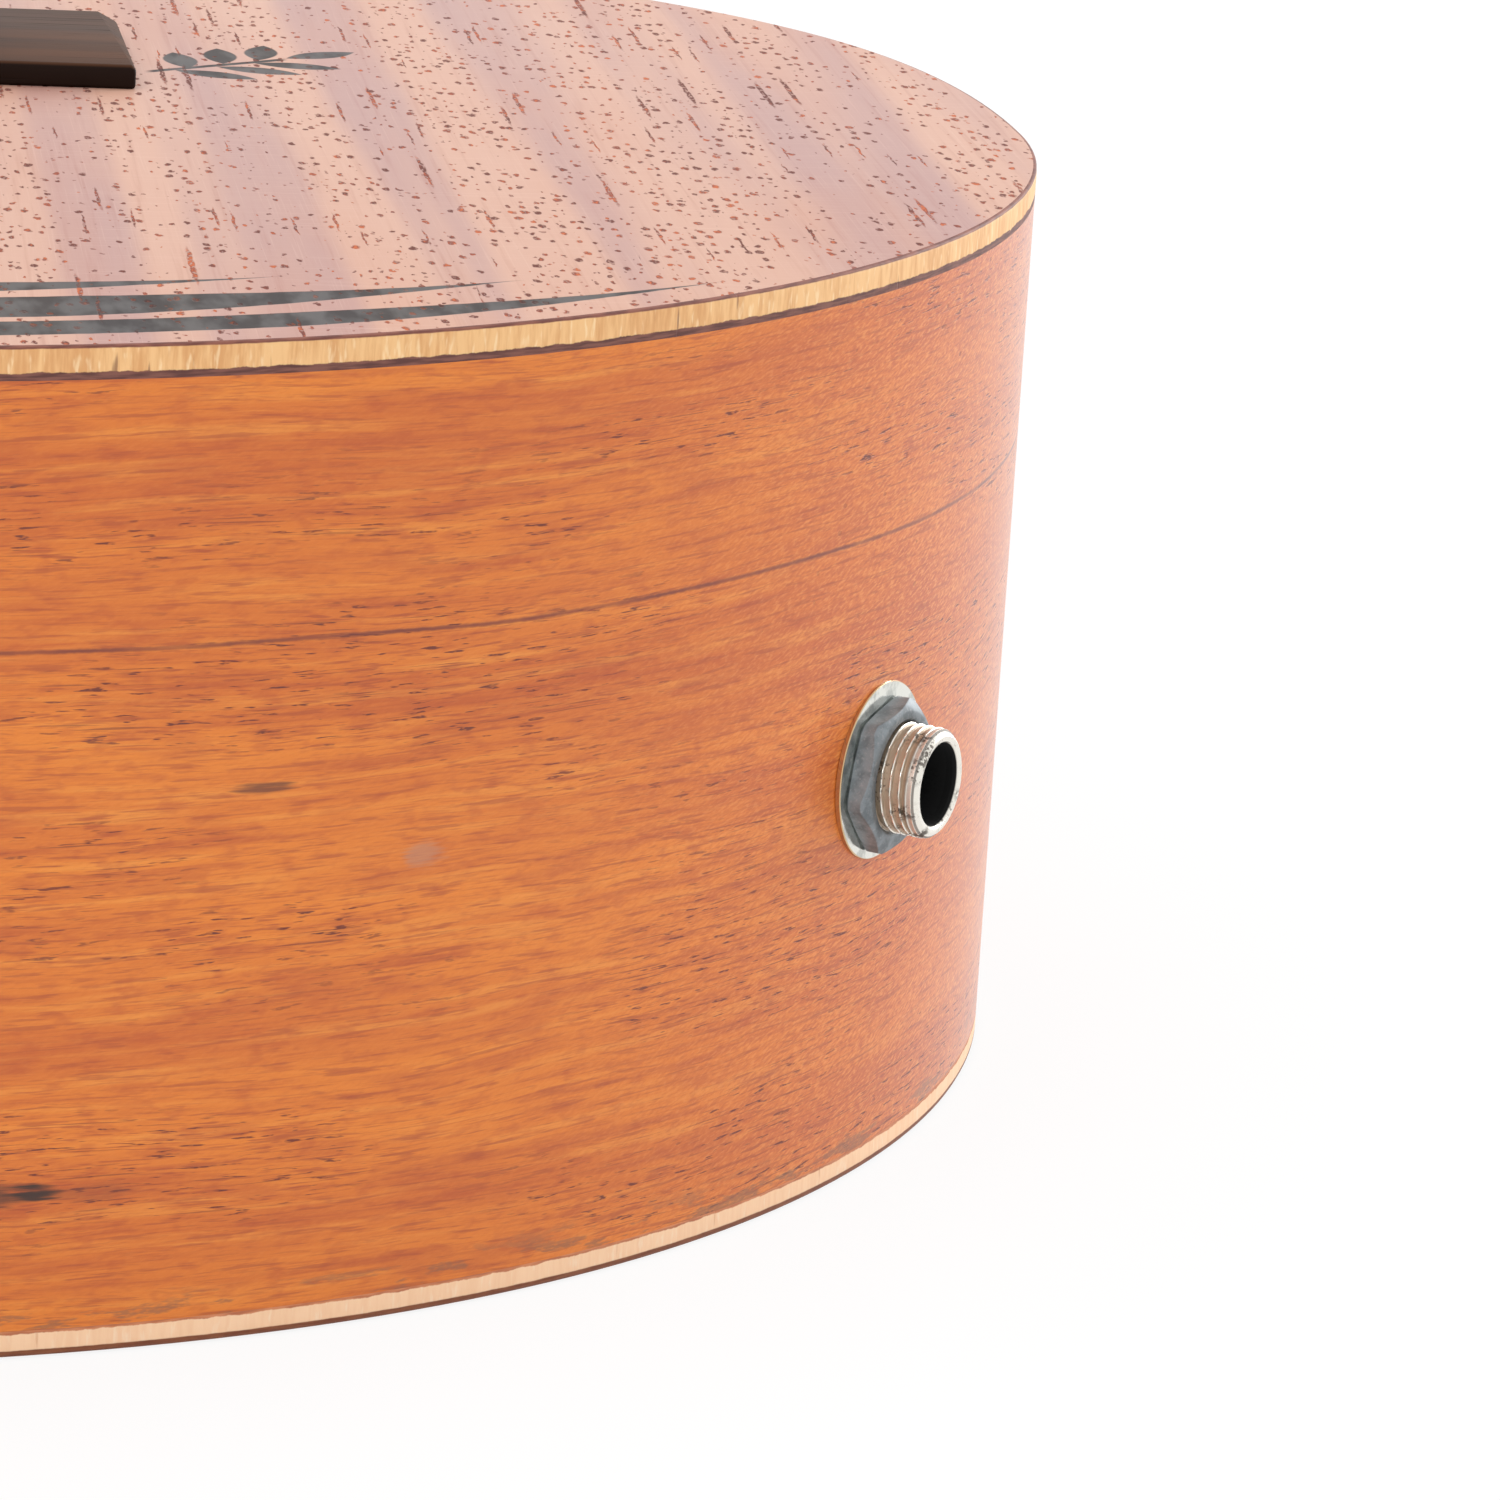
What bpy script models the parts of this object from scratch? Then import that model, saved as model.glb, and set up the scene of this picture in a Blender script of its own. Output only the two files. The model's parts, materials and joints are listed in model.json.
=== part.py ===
"""Tenor ukulele: a hollow body, a fretted neck, four open-gear tuning machines and a pickup jack.

Metres, +Z up. The origin lies on the back's outer face under the saddle. +Y runs to the headstock,
+X is the treble side, and the body lies on its flat back.
"""

import math

import bmesh
import bpy
from mathutils import Matrix, Vector
from mathutils.geometry import interpolate_bezier

# Clearances
seat_gap = 0.0003
running_gap = 0.0003
curved_seat_gap = 0.0007

# Scale and frets
scale_length = 0.432
body_fret = 14
fret_count = 19
octave = 12

# Body outline, one half
saddle_from_tail = 0.1135
lower_bout_half_width = 0.1111
lower_bout_from_tail = 0.0935
waist_half_width = 0.0745
waist_from_tail = 0.179
upper_bout_half_width = 0.085
upper_bout_from_join = 0.044
shoulder_flat_half_width = 0.027
tail_fullness = 0.713
lower_tail_fullness = 0.385
lower_waist_fullness = 0.764
waist_tail_fullness = 0.305
waist_neck_fullness = 0.36
upper_waist_fullness = 0.38
upper_neck_fullness = 0.60
join_fullness = 0.62

# Body shell
body_depth = 0.0723
top_thickness = 0.0024
back_thickness = 0.0020
side_thickness = 0.0018
soundhole_radius = 0.0325
soundhole_from_saddle = 0.094

# Inside of the body
lining_width = 0.005
lining_height = 0.006
kerf_pitch = 0.024
kerf_width = 0.0012
kerf_depth = 0.0036
neck_block_half_width = 0.030
neck_block_depth = 0.020
tail_block_half_width = 0.028
tail_block_depth = 0.012
brace_width = 0.006
brace_height = 0.009
brace_end_height = 0.0025
brace_scoop = 0.022
brace_from_soundhole = 0.014
fan_brace_width = 0.0045
fan_brace_height = 0.006
fan_brace_length = 0.058
fan_spread = 0.034
fan_angle = math.radians(12)
back_brace_places = (-0.052, 0.045, 0.140)
patch_half_length = 0.044
patch_width = 0.036
patch_thickness = 0.0025

# Neck and heel
nut_half_width = 0.018
join_half_width = 0.023
shaft_depth_at_nut = 0.0125
shaft_depth_at_heel = 0.015
heel_depth = 0.058
heel_length = 0.046
heel_cap = 0.006
heel_fullness = 2.5
shaft_fullness = 2.1
dowel_radius = 0.004
dowel_length = 0.030
dowel_in_heel = 0.012
dowel_from_top = 0.0155

# Headstock
head_tilt = math.radians(13)
head_length = 0.124
head_thickness = 0.013
head_half_width = 0.029
head_taper = 0.0025
head_flare = 0.026
head_corner = 0.0025
crown_length = 0.016
crown_squareness = 2.7
overlay_thickness = 0.0015

# Fretboard and frets
board_thickness = 0.005
board_past_last_fret = 0.0045
fret_height = 0.001
fret_width = 0.002

# Nut, saddle and bridge
nut_thickness = 0.005
nut_above_string = 0.0006
string_over_frets_at_nut = 0.0004
action_at_octave = 0.0026
saddle_thickness = 0.0024
saddle_half_length = 0.0232
saddle_depth_in_bridge = 0.0032
bridge_half_length = 0.0391
bridge_behind_saddle = 0.013
bridge_before_saddle = 0.013
bridge_height = 0.008
bridge_block_half_length = 0.0245
wing_thickness = 0.0017
wing_chamfer = 0.0009
wing_rise = 0.003
slot_wall = 0.002
string_slot_width = 0.0016
string_exit_height = 0.0038

# Strings, bass to treble
string_diameters = (0.0007, 0.0009, 0.0008, 0.0006)
string_spread_at_nut = 0.028
string_spread_at_saddle = 0.042
knot_radius = 0.0013
winding_turns = 2
winding_spacing = 0.0005
loop_points = 24
string_stub = 0.0025

# Pickup and its jack
strip_thickness = 0.0012
strip_width = 0.0018
lead_diameter = 0.0014
lead_place = 0.0215
jack_from_tail = 0.0428
jack_height = 0.0324
jack_thread_radius = 0.0045
jack_bore_radius = 0.00325
jack_reach = 0.005
jack_shoulder = 0.0052
jack_housing_radius = 0.00575
jack_housing_length = 0.021
jack_lip = 0.0005
jack_hole_clearance = 0.0003
washer_radius = 0.007
washer_thickness = 0.0006
jack_nut_flats = 0.011
jack_nut_thickness = 0.0018
jack_nut_chamfer = 0.0005

# Tuning machines
tuner_places = (0.034, 0.078)
post_from_edge = 0.0115
post_radius = 0.00295
post_above_overlay = 0.0122
post_hole_above_overlay = 0.0088
post_hole_radius = 0.001
post_waist = 0.0003
journal_radius = 0.0022
bushing_wall = 0.001
bushing_flange = 0.001
bushing_flange_width = 0.001
bushing_sleeve = 0.006
plate_half_width = 0.0049
plate_thickness = 0.0009
plate_past_post = 0.011
plate_past_worm = 0.0085
plate_screw_from_end = 0.003
ear_half_width = 0.0026
gear_teeth = 14
gear_pitch_radius = 0.004
gear_thickness = 0.0026
gear_seat_radius = 0.0017
gear_boss_radius = 0.003
tooth_height = 0.0005
tooth_root = 0.00065
tooth_thickness = 0.00062
tooth_slope = math.tan(math.radians(20))
worm_pitch_radius = 0.0022
worm_shaft_radius = 0.0015
worm_turns = 3
worm_steps = 11
mesh_clearance = 0.00015
thread_bite = 0.0003
collar_radius = 0.0023
collar_thickness = 0.001
button_from_edge = 0.0025
button_length = 0.0135
button_half_width = 0.0058
button_half_thickness = 0.0037
button_socket = 0.008
button_swell = (
    (0.0, 0.42),
    (0.08, 0.52),
    (0.28, 0.76),
    (0.5, 0.97),
    (0.68, 1.0),
    (0.84, 0.9),
    (0.95, 0.66),
    (1.0, 0.4),
)
screw_hole_radius = 0.0011
gear_screw_depth = 0.004

# Places worked out from the sizes above
nut_y = scale_length
join_y = scale_length * 2 ** (-body_fret / octave)
tail_y = -saddle_from_tail
nut_front_y = nut_y + nut_thickness
inside_floor = back_thickness + seat_gap
inside_roof = body_depth - top_thickness - seat_gap
board_bottom = body_depth + seat_gap
board_top = board_bottom + board_thickness
fret_top = board_top + fret_height
string_bottom_at_nut = fret_top + string_over_frets_at_nut
string_bottom_at_saddle = 2 * (fret_top + action_at_octave) - string_bottom_at_nut
bridge_bottom = body_depth + seat_gap
bridge_top = bridge_bottom + bridge_height
saddle_slot_floor = bridge_top - saddle_depth_in_bridge - strip_thickness - 2 * seat_gap
overlay_top = seat_gap + overlay_thickness
bushing_top = overlay_top + seat_gap + bushing_flange
bushing_bore = post_radius + running_gap
bushing_radius = bushing_bore + bushing_wall
plate_top = -head_thickness - seat_gap
plate_bottom = plate_top - plate_thickness
worm_tip_radius = worm_pitch_radius + tooth_height
worm_level = plate_bottom - running_gap - worm_tip_radius
worm_lead = 2 * math.pi * gear_pitch_radius / gear_teeth
worm_offset = gear_pitch_radius + worm_pitch_radius + mesh_clearance
gear_top = worm_level + gear_thickness / 2
gear_bottom = worm_level - gear_thickness / 2
boss_top = plate_bottom - running_gap
ear_inner = plate_half_width - plate_thickness

# Colours of the pieces
sapele = (0.62, 0.30, 0.14)
mahogany = (0.42, 0.20, 0.11)
spruce = (0.80, 0.66, 0.45)
walnut = (0.14, 0.10, 0.07)
bone = (0.86, 0.82, 0.72)
nickel = (0.75, 0.74, 0.72)
zinc = (0.42, 0.43, 0.44)
brass = (0.76, 0.60, 0.30)
black = (0.02, 0.02, 0.02)
nylon = (0.82, 0.80, 0.74)


def remove_objects():
    for item in list(bpy.data.objects):
        bpy.data.objects.remove(item)


def paint(item, colour, roughness, metallic=0.0):
    look = bpy.data.materials.new(item.name)
    look.use_nodes = True
    shader = look.node_tree.nodes["Principled BSDF"]
    shader.inputs["Base Color"].default_value = (*colour, 1)
    shader.inputs["Roughness"].default_value = roughness
    shader.inputs["Metallic"].default_value = metallic
    item.data.materials.append(look)


def wood(item, colour):
    paint(item, colour, 0.5)


def metal(item, colour=nickel, roughness=0.25):
    paint(item, colour, roughness, 1.0)


def empty(name, place, turn=(0, 0, 0)):
    item = bpy.data.objects.new(name, None)
    item.location = place
    item.rotation_euler = turn
    bpy.context.scene.collection.objects.link(item)
    return item


def solid(name, shape, parent=None, smooth=None):
    """Turn a bmesh into an object, with its faces pointing out and its round sides smooth."""
    bmesh.ops.remove_doubles(shape, verts=shape.verts, dist=1e-7)
    bmesh.ops.recalc_face_normals(shape, faces=shape.faces)
    mesh = bpy.data.meshes.new(name)
    shape.to_mesh(mesh)
    shape.free()
    if smooth:
        mesh.shade_smooth()
        mesh.set_sharp_from_angle(angle=math.radians(smooth))
    item = bpy.data.objects.new(name, mesh)
    item.parent = parent
    bpy.context.scene.collection.objects.link(item)
    return item


def prism(shape, outline, low, high):
    """Extrude an outline of (x, y) points from one height to another."""
    face = shape.faces.new([shape.verts.new((x, y, low)) for x, y in outline])
    grown = bmesh.ops.extrude_face_region(shape, geom=[face])["geom"]
    moved = [part for part in grown if isinstance(part, bmesh.types.BMVert)]
    bmesh.ops.translate(shape, verts=moved, vec=(0, 0, high - low))
    return moved


def loft(shape, rings):
    """Skin a row of rings that have the same number of points, and close both ends."""
    rows = [[shape.verts.new(point) for point in ring] for ring in rings]
    count = len(rows[0])
    for low, high in zip(rows, rows[1:]):
        for i in range(count):
            j = (i + 1) % count
            shape.faces.new((low[i], low[j], high[j], high[i]))
    shape.faces.new(rows[0])
    shape.faces.new(rows[-1])


def turned(shape, profile, segments, place=(0, 0, 0)):
    """Spin a profile of (radius, height) points about the Z axis through a place."""
    place = Vector(place)
    points = [shape.verts.new(place + Vector((radius, 0, height))) for radius, height in profile]
    edges = [shape.edges.new(pair) for pair in zip(points, points[1:])]
    if profile[0][0] > 0:
        edges.append(shape.edges.new((points[-1], points[0])))
    bmesh.ops.spin(
        shape,
        geom=points + edges,
        cent=place,
        axis=(0, 0, 1),
        angle=2 * math.pi,
        steps=segments,
        use_merge=True,
    )
    bmesh.ops.remove_doubles(shape, verts=shape.verts, dist=1e-7)


def bar(shape, low, high):
    """A block between its lowest and highest corners."""
    corners = [(low[0], low[1]), (high[0], low[1]), (high[0], high[1]), (low[0], high[1])]
    prism(shape, corners, low[2], high[2])


def rod(shape, start, end, radius, sides=16):
    """A round rod between two points."""
    start = Vector(start)
    end = Vector(end)
    turn = (end - start).to_track_quat("Z", "Y").to_matrix().to_4x4()
    bmesh.ops.create_cone(
        shape,
        cap_ends=True,
        segments=sides,
        radius1=radius,
        radius2=radius,
        depth=(end - start).length,
        matrix=Matrix.Translation((start + end) / 2) @ turn,
    )


def combine(item, other, operation):
    step = item.modifiers.new(operation.title(), "BOOLEAN")
    step.operation = operation
    step.solver = "EXACT"
    step.object = other
    other.hide_render = True
    other.display_type = "WIRE"


def cut(item, cutter):
    combine(item, cutter, "DIFFERENCE")


def tube(name, points, diameter, swell=None):
    """A cord along world points, with optional factors on its radius."""
    curve = bpy.data.curves.new(name, "CURVE")
    curve.dimensions = "3D"
    curve.bevel_depth = diameter / 2
    curve.bevel_resolution = 1
    curve.use_fill_caps = True
    line = curve.splines.new("POLY")
    line.points.add(len(points) - 1)
    for i, point in enumerate(points):
        line.points[i].co = (*point, 1)
        line.points[i].radius = swell[i] if swell else 1.0
    item = bpy.data.objects.new(name, curve)
    bpy.context.scene.collection.objects.link(item)
    return item


# Body outline

def half_outline():
    """The treble half of the outline, from the middle of the tail to the middle of the neck join."""
    upper_y = join_y - upper_bout_from_join
    lower_y = tail_y + lower_bout_from_tail
    waist_y = tail_y + waist_from_tail
    lower_rise = waist_y - lower_y
    upper_rise = upper_y - waist_y
    shoulder = upper_bout_half_width - shoulder_flat_half_width
    tail = Vector((0, tail_y))
    lower = Vector((lower_bout_half_width, lower_y))
    waist = Vector((waist_half_width, waist_y))
    upper = Vector((upper_bout_half_width, upper_y))
    join = Vector((shoulder_flat_half_width, join_y))
    tail_handle = tail + Vector((tail_fullness * lower_bout_half_width, 0))
    lower_in = lower - Vector((0, lower_tail_fullness * lower_bout_from_tail))
    lower_out = lower + Vector((0, lower_waist_fullness * lower_rise))
    waist_in = waist - Vector((0, waist_tail_fullness * lower_rise))
    waist_out = waist + Vector((0, waist_neck_fullness * upper_rise))
    upper_in = upper - Vector((0, upper_waist_fullness * upper_rise))
    upper_out = upper + Vector((0, upper_neck_fullness * upper_bout_from_join))
    join_handle = join + Vector((join_fullness * shoulder, 0))
    points = interpolate_bezier(tail, tail_handle, lower_in, lower, 15)
    points += interpolate_bezier(lower, lower_out, waist_in, waist, 11)[1:]
    points += interpolate_bezier(waist, waist_out, upper_in, upper, 9)[1:]
    points += interpolate_bezier(upper, upper_out, join_handle, join, 8)[1:]
    return [point.to_2d() for point in points] + [Vector((0, join_y))]


def inset_half(distance):
    """The half outline moved inward, still with its ends on the centre line."""
    half = half_outline()
    count = len(half)
    moved = []
    for i, point in enumerate(half):
        before = half[i - 1] if i else half[1] * Vector((-1, 1))
        after = half[i + 1] if i < count - 1 else half[-2] * Vector((-1, 1))
        first = (point - before).normalized()
        second = (after - point).normalized()
        along = (first + second).normalized()
        inward = Vector((-along.y, along.x))
        moved.append(point + inward * distance / max(0.5, along.dot(first)))
    return moved


def whole_outline(distance=0.0):
    half = inset_half(distance)
    return half + [point * Vector((-1, 1)) for point in half[-2:0:-1]]


def half_width_at(y, distance=0.0):
    """Half of the body's width at a place along it."""
    half = inset_half(distance)
    for low, high in zip(half, half[1:]):
        if low.y <= y <= high.y:
            return low.x + (high.x - low.x) * (y - low.y) / (high.y - low.y)
    return half[-1].x


def trimmed_half(distance, tail_x, neck_x):
    """The inset half outline between its crossings of two distances from the centre line."""
    half = inset_half(distance)
    first = next(i for i, point in enumerate(half) if point.x > tail_x)
    last = next(i for i in range(len(half) - 1, 0, -1) if half[i].x > neck_x)
    start = at_x(half[first - 1], half[first], tail_x)
    end = at_x(half[last], half[last + 1], neck_x)
    return [start] + half[first:last + 1] + [end]


def at_x(low, high, x):
    return low.lerp(high, (x - low.x) / (high.x - low.x))


def rim_place(y):
    """A point on the treble side's outer face, and the way that the face looks there."""
    half = half_outline()
    for low, high in zip(half, half[1:]):
        if low.y <= y <= high.y:
            along = (high - low).normalized()
            point = low.lerp(high, (y - low.y) / (high.y - low.y))
            return point, Vector((along.y, -along.x))
    return half[-1], Vector((0, 1))


def walk(points):
    """Distances along a line of points, starting from nought."""
    lengths = [0.0]
    for low, high in zip(points, points[1:]):
        lengths.append(lengths[-1] + (high - low).length)
    return lengths


def point_along(points, lengths, distance):
    """The point at a distance along a line, and its inward direction."""
    for i in range(len(points) - 1):
        if distance <= lengths[i + 1] or i == len(points) - 2:
            along = (points[i + 1] - points[i]).normalized()
            return points[i] + along * (distance - lengths[i]), Vector((-along.y, along.x))
    return points[-1], Vector((0, 0))


def mirrored(points, side):
    return [(side * point[0], point[1]) for point in points]


# Body pieces

def plate(name, low, high):
    shape = bmesh.new()
    prism(shape, whole_outline(), low, high)
    return solid(name, shape)


def side(name, hand):
    """A bent side: a thin wall between the outline and its inset."""
    outer = half_outline()
    inner = inset_half(side_thickness)
    for line in (outer, inner):
        line[0] = Vector((seat_gap / 2, line[0].y))
        line[-1] = Vector((seat_gap / 2, line[-1].y))
    shape = bmesh.new()
    low = inside_floor
    high = inside_roof
    rings = []
    for outside, inside in zip(outer, inner):
        ring = [(*outside, low), (*inside, low), (*inside, high), (*outside, high)]
        rings.append([(hand * x, y, z) for x, y, z in ring])
    loft(shape, rings)
    return solid(name, shape, smooth=30)


def lining_outline():
    """A kerfed strip inside the side, from the tail block to the neck block."""
    tail_x = tail_block_half_width + seat_gap
    neck_x = neck_block_half_width + seat_gap
    outer = trimmed_half(side_thickness + seat_gap, tail_x, neck_x)
    inner = trimmed_half(side_thickness + seat_gap + lining_width, tail_x, neck_x)
    lengths = walk(inner)
    edge = [inner[0]]
    for i in range(int(lengths[-1] / kerf_pitch)):
        middle = (i + 0.5) * kerf_pitch
        for step, depth in ((-1, 0), (-1, 1), (1, 1), (1, 0)):
            point, inward = point_along(inner, lengths, middle + step * kerf_width / 2)
            edge.append(point - inward * kerf_depth * depth)
    edge.append(inner[-1])
    return outer + edge[::-1]


def make_linings():
    outline = lining_outline()
    for level, low in (("top", inside_roof - lining_height), ("back", inside_floor)):
        for edge, hand in (("treble", 1), ("bass", -1)):
            shape = bmesh.new()
            prism(shape, mirrored(outline, hand), low, low + lining_height)
            wood(solid(f"{level}_lining_{edge}", shape), spruce)


def end_block(name, half_width, depth, at_neck):
    """A block that fills the body's end between the two plates."""
    line = inset_half(side_thickness + seat_gap)
    if at_neck:
        line = line[::-1]
        depth = -depth
    first = next(i for i, point in enumerate(line) if point.x > half_width)
    edge = line[:first] + [at_x(line[first - 1], line[first], half_width)]
    inner_y = edge[0].y + depth
    outline = [(half_width, inner_y)] + [tuple(point) for point in edge[::-1]]
    outline += [(-x, y) for x, y in outline[::-1] if x > 0]
    shape = bmesh.new()
    prism(shape, outline, inside_floor, inside_roof)
    return solid(name, shape)


def brace(name, half_length, width, height, place, turn, upward):
    """A bar along X with scooped ends, glued with its flat side to a plate, then turned and placed."""
    scoop = min(brace_scoop, 0.4 * half_length)
    side_view = [
        (-half_length, 0),
        (half_length, 0),
        (half_length, brace_end_height),
        (half_length - scoop, height),
        (-half_length + scoop, height),
        (-half_length, brace_end_height),
    ]
    ends = []
    for across in (-width / 2, width / 2):
        ends.append([Vector((x, across, upward * z)) for x, z in side_view])
    spin = Matrix.Rotation(turn, 4, "Z")
    rings = [[Vector(place) + spin @ point for point in ring] for ring in ends]
    shape = bmesh.new()
    loft(shape, rings)
    wood(solid(name, shape), spruce)


def brace_reach(y):
    """Half the length of a brace that ends at the linings."""
    inset = side_thickness + lining_width + 3 * seat_gap
    return min(half_width_at(y - brace_width / 2, inset), half_width_at(y + brace_width / 2, inset))


def make_braces():
    for name, way in (("lower", -1), ("upper", 1)):
        y = soundhole_from_saddle + way * (soundhole_radius + brace_from_soundhole)
        place = (0, y, inside_roof)
        brace("soundboard_brace_" + name, brace_reach(y), brace_width, brace_height, place, 0, -1)
    start = patch_middle() - patch_width / 2 - seat_gap - fan_brace_width / 2
    half = fan_brace_length / 2
    for name, hand in (("bass", -1), ("middle", 0), ("treble", 1)):
        turn = math.pi / 2 + hand * fan_angle
        place = (hand * (fan_spread + math.sin(fan_angle) * half), start - half, inside_roof)
        brace("fan_brace_" + name, half, fan_brace_width, fan_brace_height, place, turn, -1)
    for name, y in zip(("lower", "middle", "upper"), back_brace_places):
        place = (0, y, inside_floor)
        brace("back_brace_" + name, brace_reach(y), brace_width, brace_height, place, 0, 1)


def patch_middle():
    return (bridge_before_saddle - bridge_behind_saddle) / 2


def bridge_patch():
    shape = bmesh.new()
    middle = patch_middle()
    low = (-patch_half_length, middle - patch_width / 2, inside_roof - patch_thickness)
    high = (patch_half_length, middle + patch_width / 2, inside_roof)
    bar(shape, low, high)
    return solid("bridge_patch", shape)


def soundhole_cutter():
    shape = bmesh.new()
    bottom = (0, soundhole_from_saddle, body_depth - 3 * top_thickness)
    top = (0, soundhole_from_saddle, body_depth + 3 * top_thickness)
    rod(shape, bottom, top, soundhole_radius, 40)
    return solid("soundhole_cutter", shape)


def dowel(name, radius, inside, outside):
    """A rod across the neck join, also used with more room as its cutter."""
    shape = bmesh.new()
    z = body_depth - dowel_from_top
    rod(shape, (0, join_y - inside, z), (0, join_y + outside, z), radius, 16)
    return solid(name, shape, smooth=40)


def make_body():
    hole = soundhole_cutter()
    lead_hole = lead_cutter()
    jack_hole = jack_cutter()
    dowel_in_body = dowel_length - dowel_in_heel
    wood(dowel("neck_dowel", dowel_radius, dowel_in_body, dowel_in_heel), spruce)
    dowel_hole = dowel(
        "dowel_cutter",
        dowel_radius + seat_gap,
        dowel_in_body + seat_gap,
        dowel_in_heel + seat_gap,
    )
    soundboard = plate("soundboard", body_depth - top_thickness, body_depth)
    wood(soundboard, sapele)
    cut(soundboard, hole)
    cut(soundboard, lead_hole)
    wood(plate("back", 0, back_thickness), sapele)
    for name, hand in (("side_treble", 1), ("side_bass", -1)):
        wall = side(name, hand)
        wood(wall, sapele)
        cut(wall, dowel_hole)
        if hand > 0:
            cut(wall, jack_hole)
    neck_block = end_block("neck_block", neck_block_half_width, neck_block_depth, True)
    wood(neck_block, mahogany)
    cut(neck_block, dowel_hole)
    wood(end_block("tail_block", tail_block_half_width, tail_block_depth, False), mahogany)
    make_linings()
    make_braces()
    patch = bridge_patch()
    wood(patch, spruce)
    cut(patch, lead_hole)
    return dowel_hole


# Neck and headstock

def board_half_width(y):
    taper = (join_half_width - nut_half_width) / (nut_y - join_y)
    return nut_half_width + taper * (nut_y - y)


def neck_section(half_width, depth, squareness, fullness):
    """Points across the neck, flat on top: a round shaft, or a slab with round lower corners."""
    corner = min(head_corner, 0.8 * half_width)
    slab = [(half_width, 0), (half_width, (corner - depth) / 2)]
    for i in range(5):
        angle = math.pi / 8 * i
        slab_x = half_width - corner + corner * math.cos(angle)
        slab.append((slab_x, corner - depth - corner * math.sin(angle)))
    slab.append((0, -depth))
    slab += [(-x, z) for x, z in slab[-2::-1]]
    points = []
    for i, (slab_x, slab_z) in enumerate(slab):
        angle = math.pi * i / (len(slab) - 1)
        cosine = math.cos(angle)
        round_x = half_width * math.copysign(abs(cosine) ** (2 / fullness), cosine)
        round_z = -depth * math.sin(angle) ** (2 / fullness) if 0 < i < len(slab) - 1 else 0.0
        points.append((
            round_x + (slab_x - round_x) * squareness,
            round_z + (slab_z - round_z) * squareness,
        ))
    return points


def neck_ring(y, z, tilt, section):
    """A section placed on the neck's top line and tipped back with the headstock."""
    up = Vector((0, math.sin(tilt), math.cos(tilt)))
    return [Vector((x, y, z)) + up * height for x, height in section]


def heel_rings():
    rings = []
    steps = 8
    section = neck_section(join_half_width, heel_depth, 0, heel_fullness)
    rings.append(neck_ring(join_y + seat_gap, body_depth, 0, section))
    for i in range(steps + 1):
        angle = math.pi / 2 * i / steps
        y = join_y + heel_length - (heel_length - heel_cap) * math.cos(angle)
        depth = heel_depth - (heel_depth - shaft_depth_at_heel) * math.sin(angle)
        fullness = heel_fullness + (shaft_fullness - heel_fullness) * i / steps
        section = neck_section(board_half_width(y), depth, 0, fullness)
        rings.append(neck_ring(y, body_depth, 0, section))
    return rings


def shaft_rings():
    rings = []
    start = join_y + heel_length
    end = nut_y - nut_thickness
    for i in range(1, 4):
        y = start + (end - start) * i / 3
        share = (y - start) / (nut_front_y - start)
        depth = shaft_depth_at_heel + (shaft_depth_at_nut - shaft_depth_at_heel) * share
        section = neck_section(board_half_width(y), depth, 0, shaft_fullness)
        rings.append(neck_ring(y, body_depth, 0, section))
    half_tilt = head_tilt / 2
    section = neck_section(nut_half_width, shaft_depth_at_nut / math.cos(half_tilt), 0.15, shaft_fullness)
    rings.append(neck_ring(nut_front_y, body_depth, half_tilt, section))
    return rings


def head_width_at(place):
    """Half the headstock's width at a distance past the nut: a flare, a taper and a round crown."""
    crown_start = head_length - crown_length
    share = min(1.0, place / head_flare)
    flare = share * share * (3 - 2 * share)
    taper = head_taper * max(0.0, min(place, crown_start) - head_flare) / (crown_start - head_flare)
    return nut_half_width + (head_half_width - nut_half_width) * flare - taper


def head_stations():
    """Places along the headstock with its half width there."""
    crown_start = head_length - crown_length
    steps = [head_flare * i / 5 for i in range(1, 6)]
    stations = [(place, head_width_at(place)) for place in steps + [crown_start]]
    width = head_width_at(crown_start)
    for i in range(1, 8):
        angle = math.radians(12 * i)
        place = crown_start + crown_length * math.sin(angle) ** (2 / crown_squareness)
        stations.append((place, width * math.cos(angle) ** (2 / crown_squareness)))
    return stations


def head_rings():
    rings = []
    for place, half_width in head_stations():
        share = min(1.0, place / head_flare)
        squareness = 0.15 + 0.85 * share
        depth = shaft_depth_at_nut + (head_thickness - shaft_depth_at_nut) * share
        section = neck_section(half_width, depth, squareness, shaft_fullness)
        y = nut_front_y + place * math.cos(head_tilt)
        z = body_depth - place * math.sin(head_tilt)
        rings.append(neck_ring(y, z, head_tilt, section))
    return rings


def make_neck(head, dowel_hole):
    shape = bmesh.new()
    loft(shape, heel_rings() + shaft_rings() + head_rings())
    neck = solid("neck", shape, smooth=38)
    wood(neck, mahogany)
    post_hole = tuner_cylinders("post_hole_cutter", bushing_radius + seat_gap, head_thickness, head)
    cut(neck, post_hole)
    cut(neck, dowel_hole)
    stations = [(seat_gap, nut_half_width)] + head_stations()
    outline = [(width, place) for place, width in stations]
    outline += [(-x, y) for x, y in outline[::-1]]
    shape = bmesh.new()
    prism(shape, outline, seat_gap, overlay_top)
    overlay = solid("headstock_overlay", shape, head)
    wood(overlay, sapele)
    cut(overlay, post_hole)


def tuners():
    """Name, sideways direction and place in the head's frame of each tuning machine, bass to treble."""
    near, far = tuner_places
    found = []
    for name, hand, place in (("4", -1, near), ("3", -1, far), ("2", 1, far), ("1", 1, near)):
        x = hand * (head_width_at(place) - post_from_edge)
        found.append((name, hand, Vector((x, place, 0))))
    return found


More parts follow.
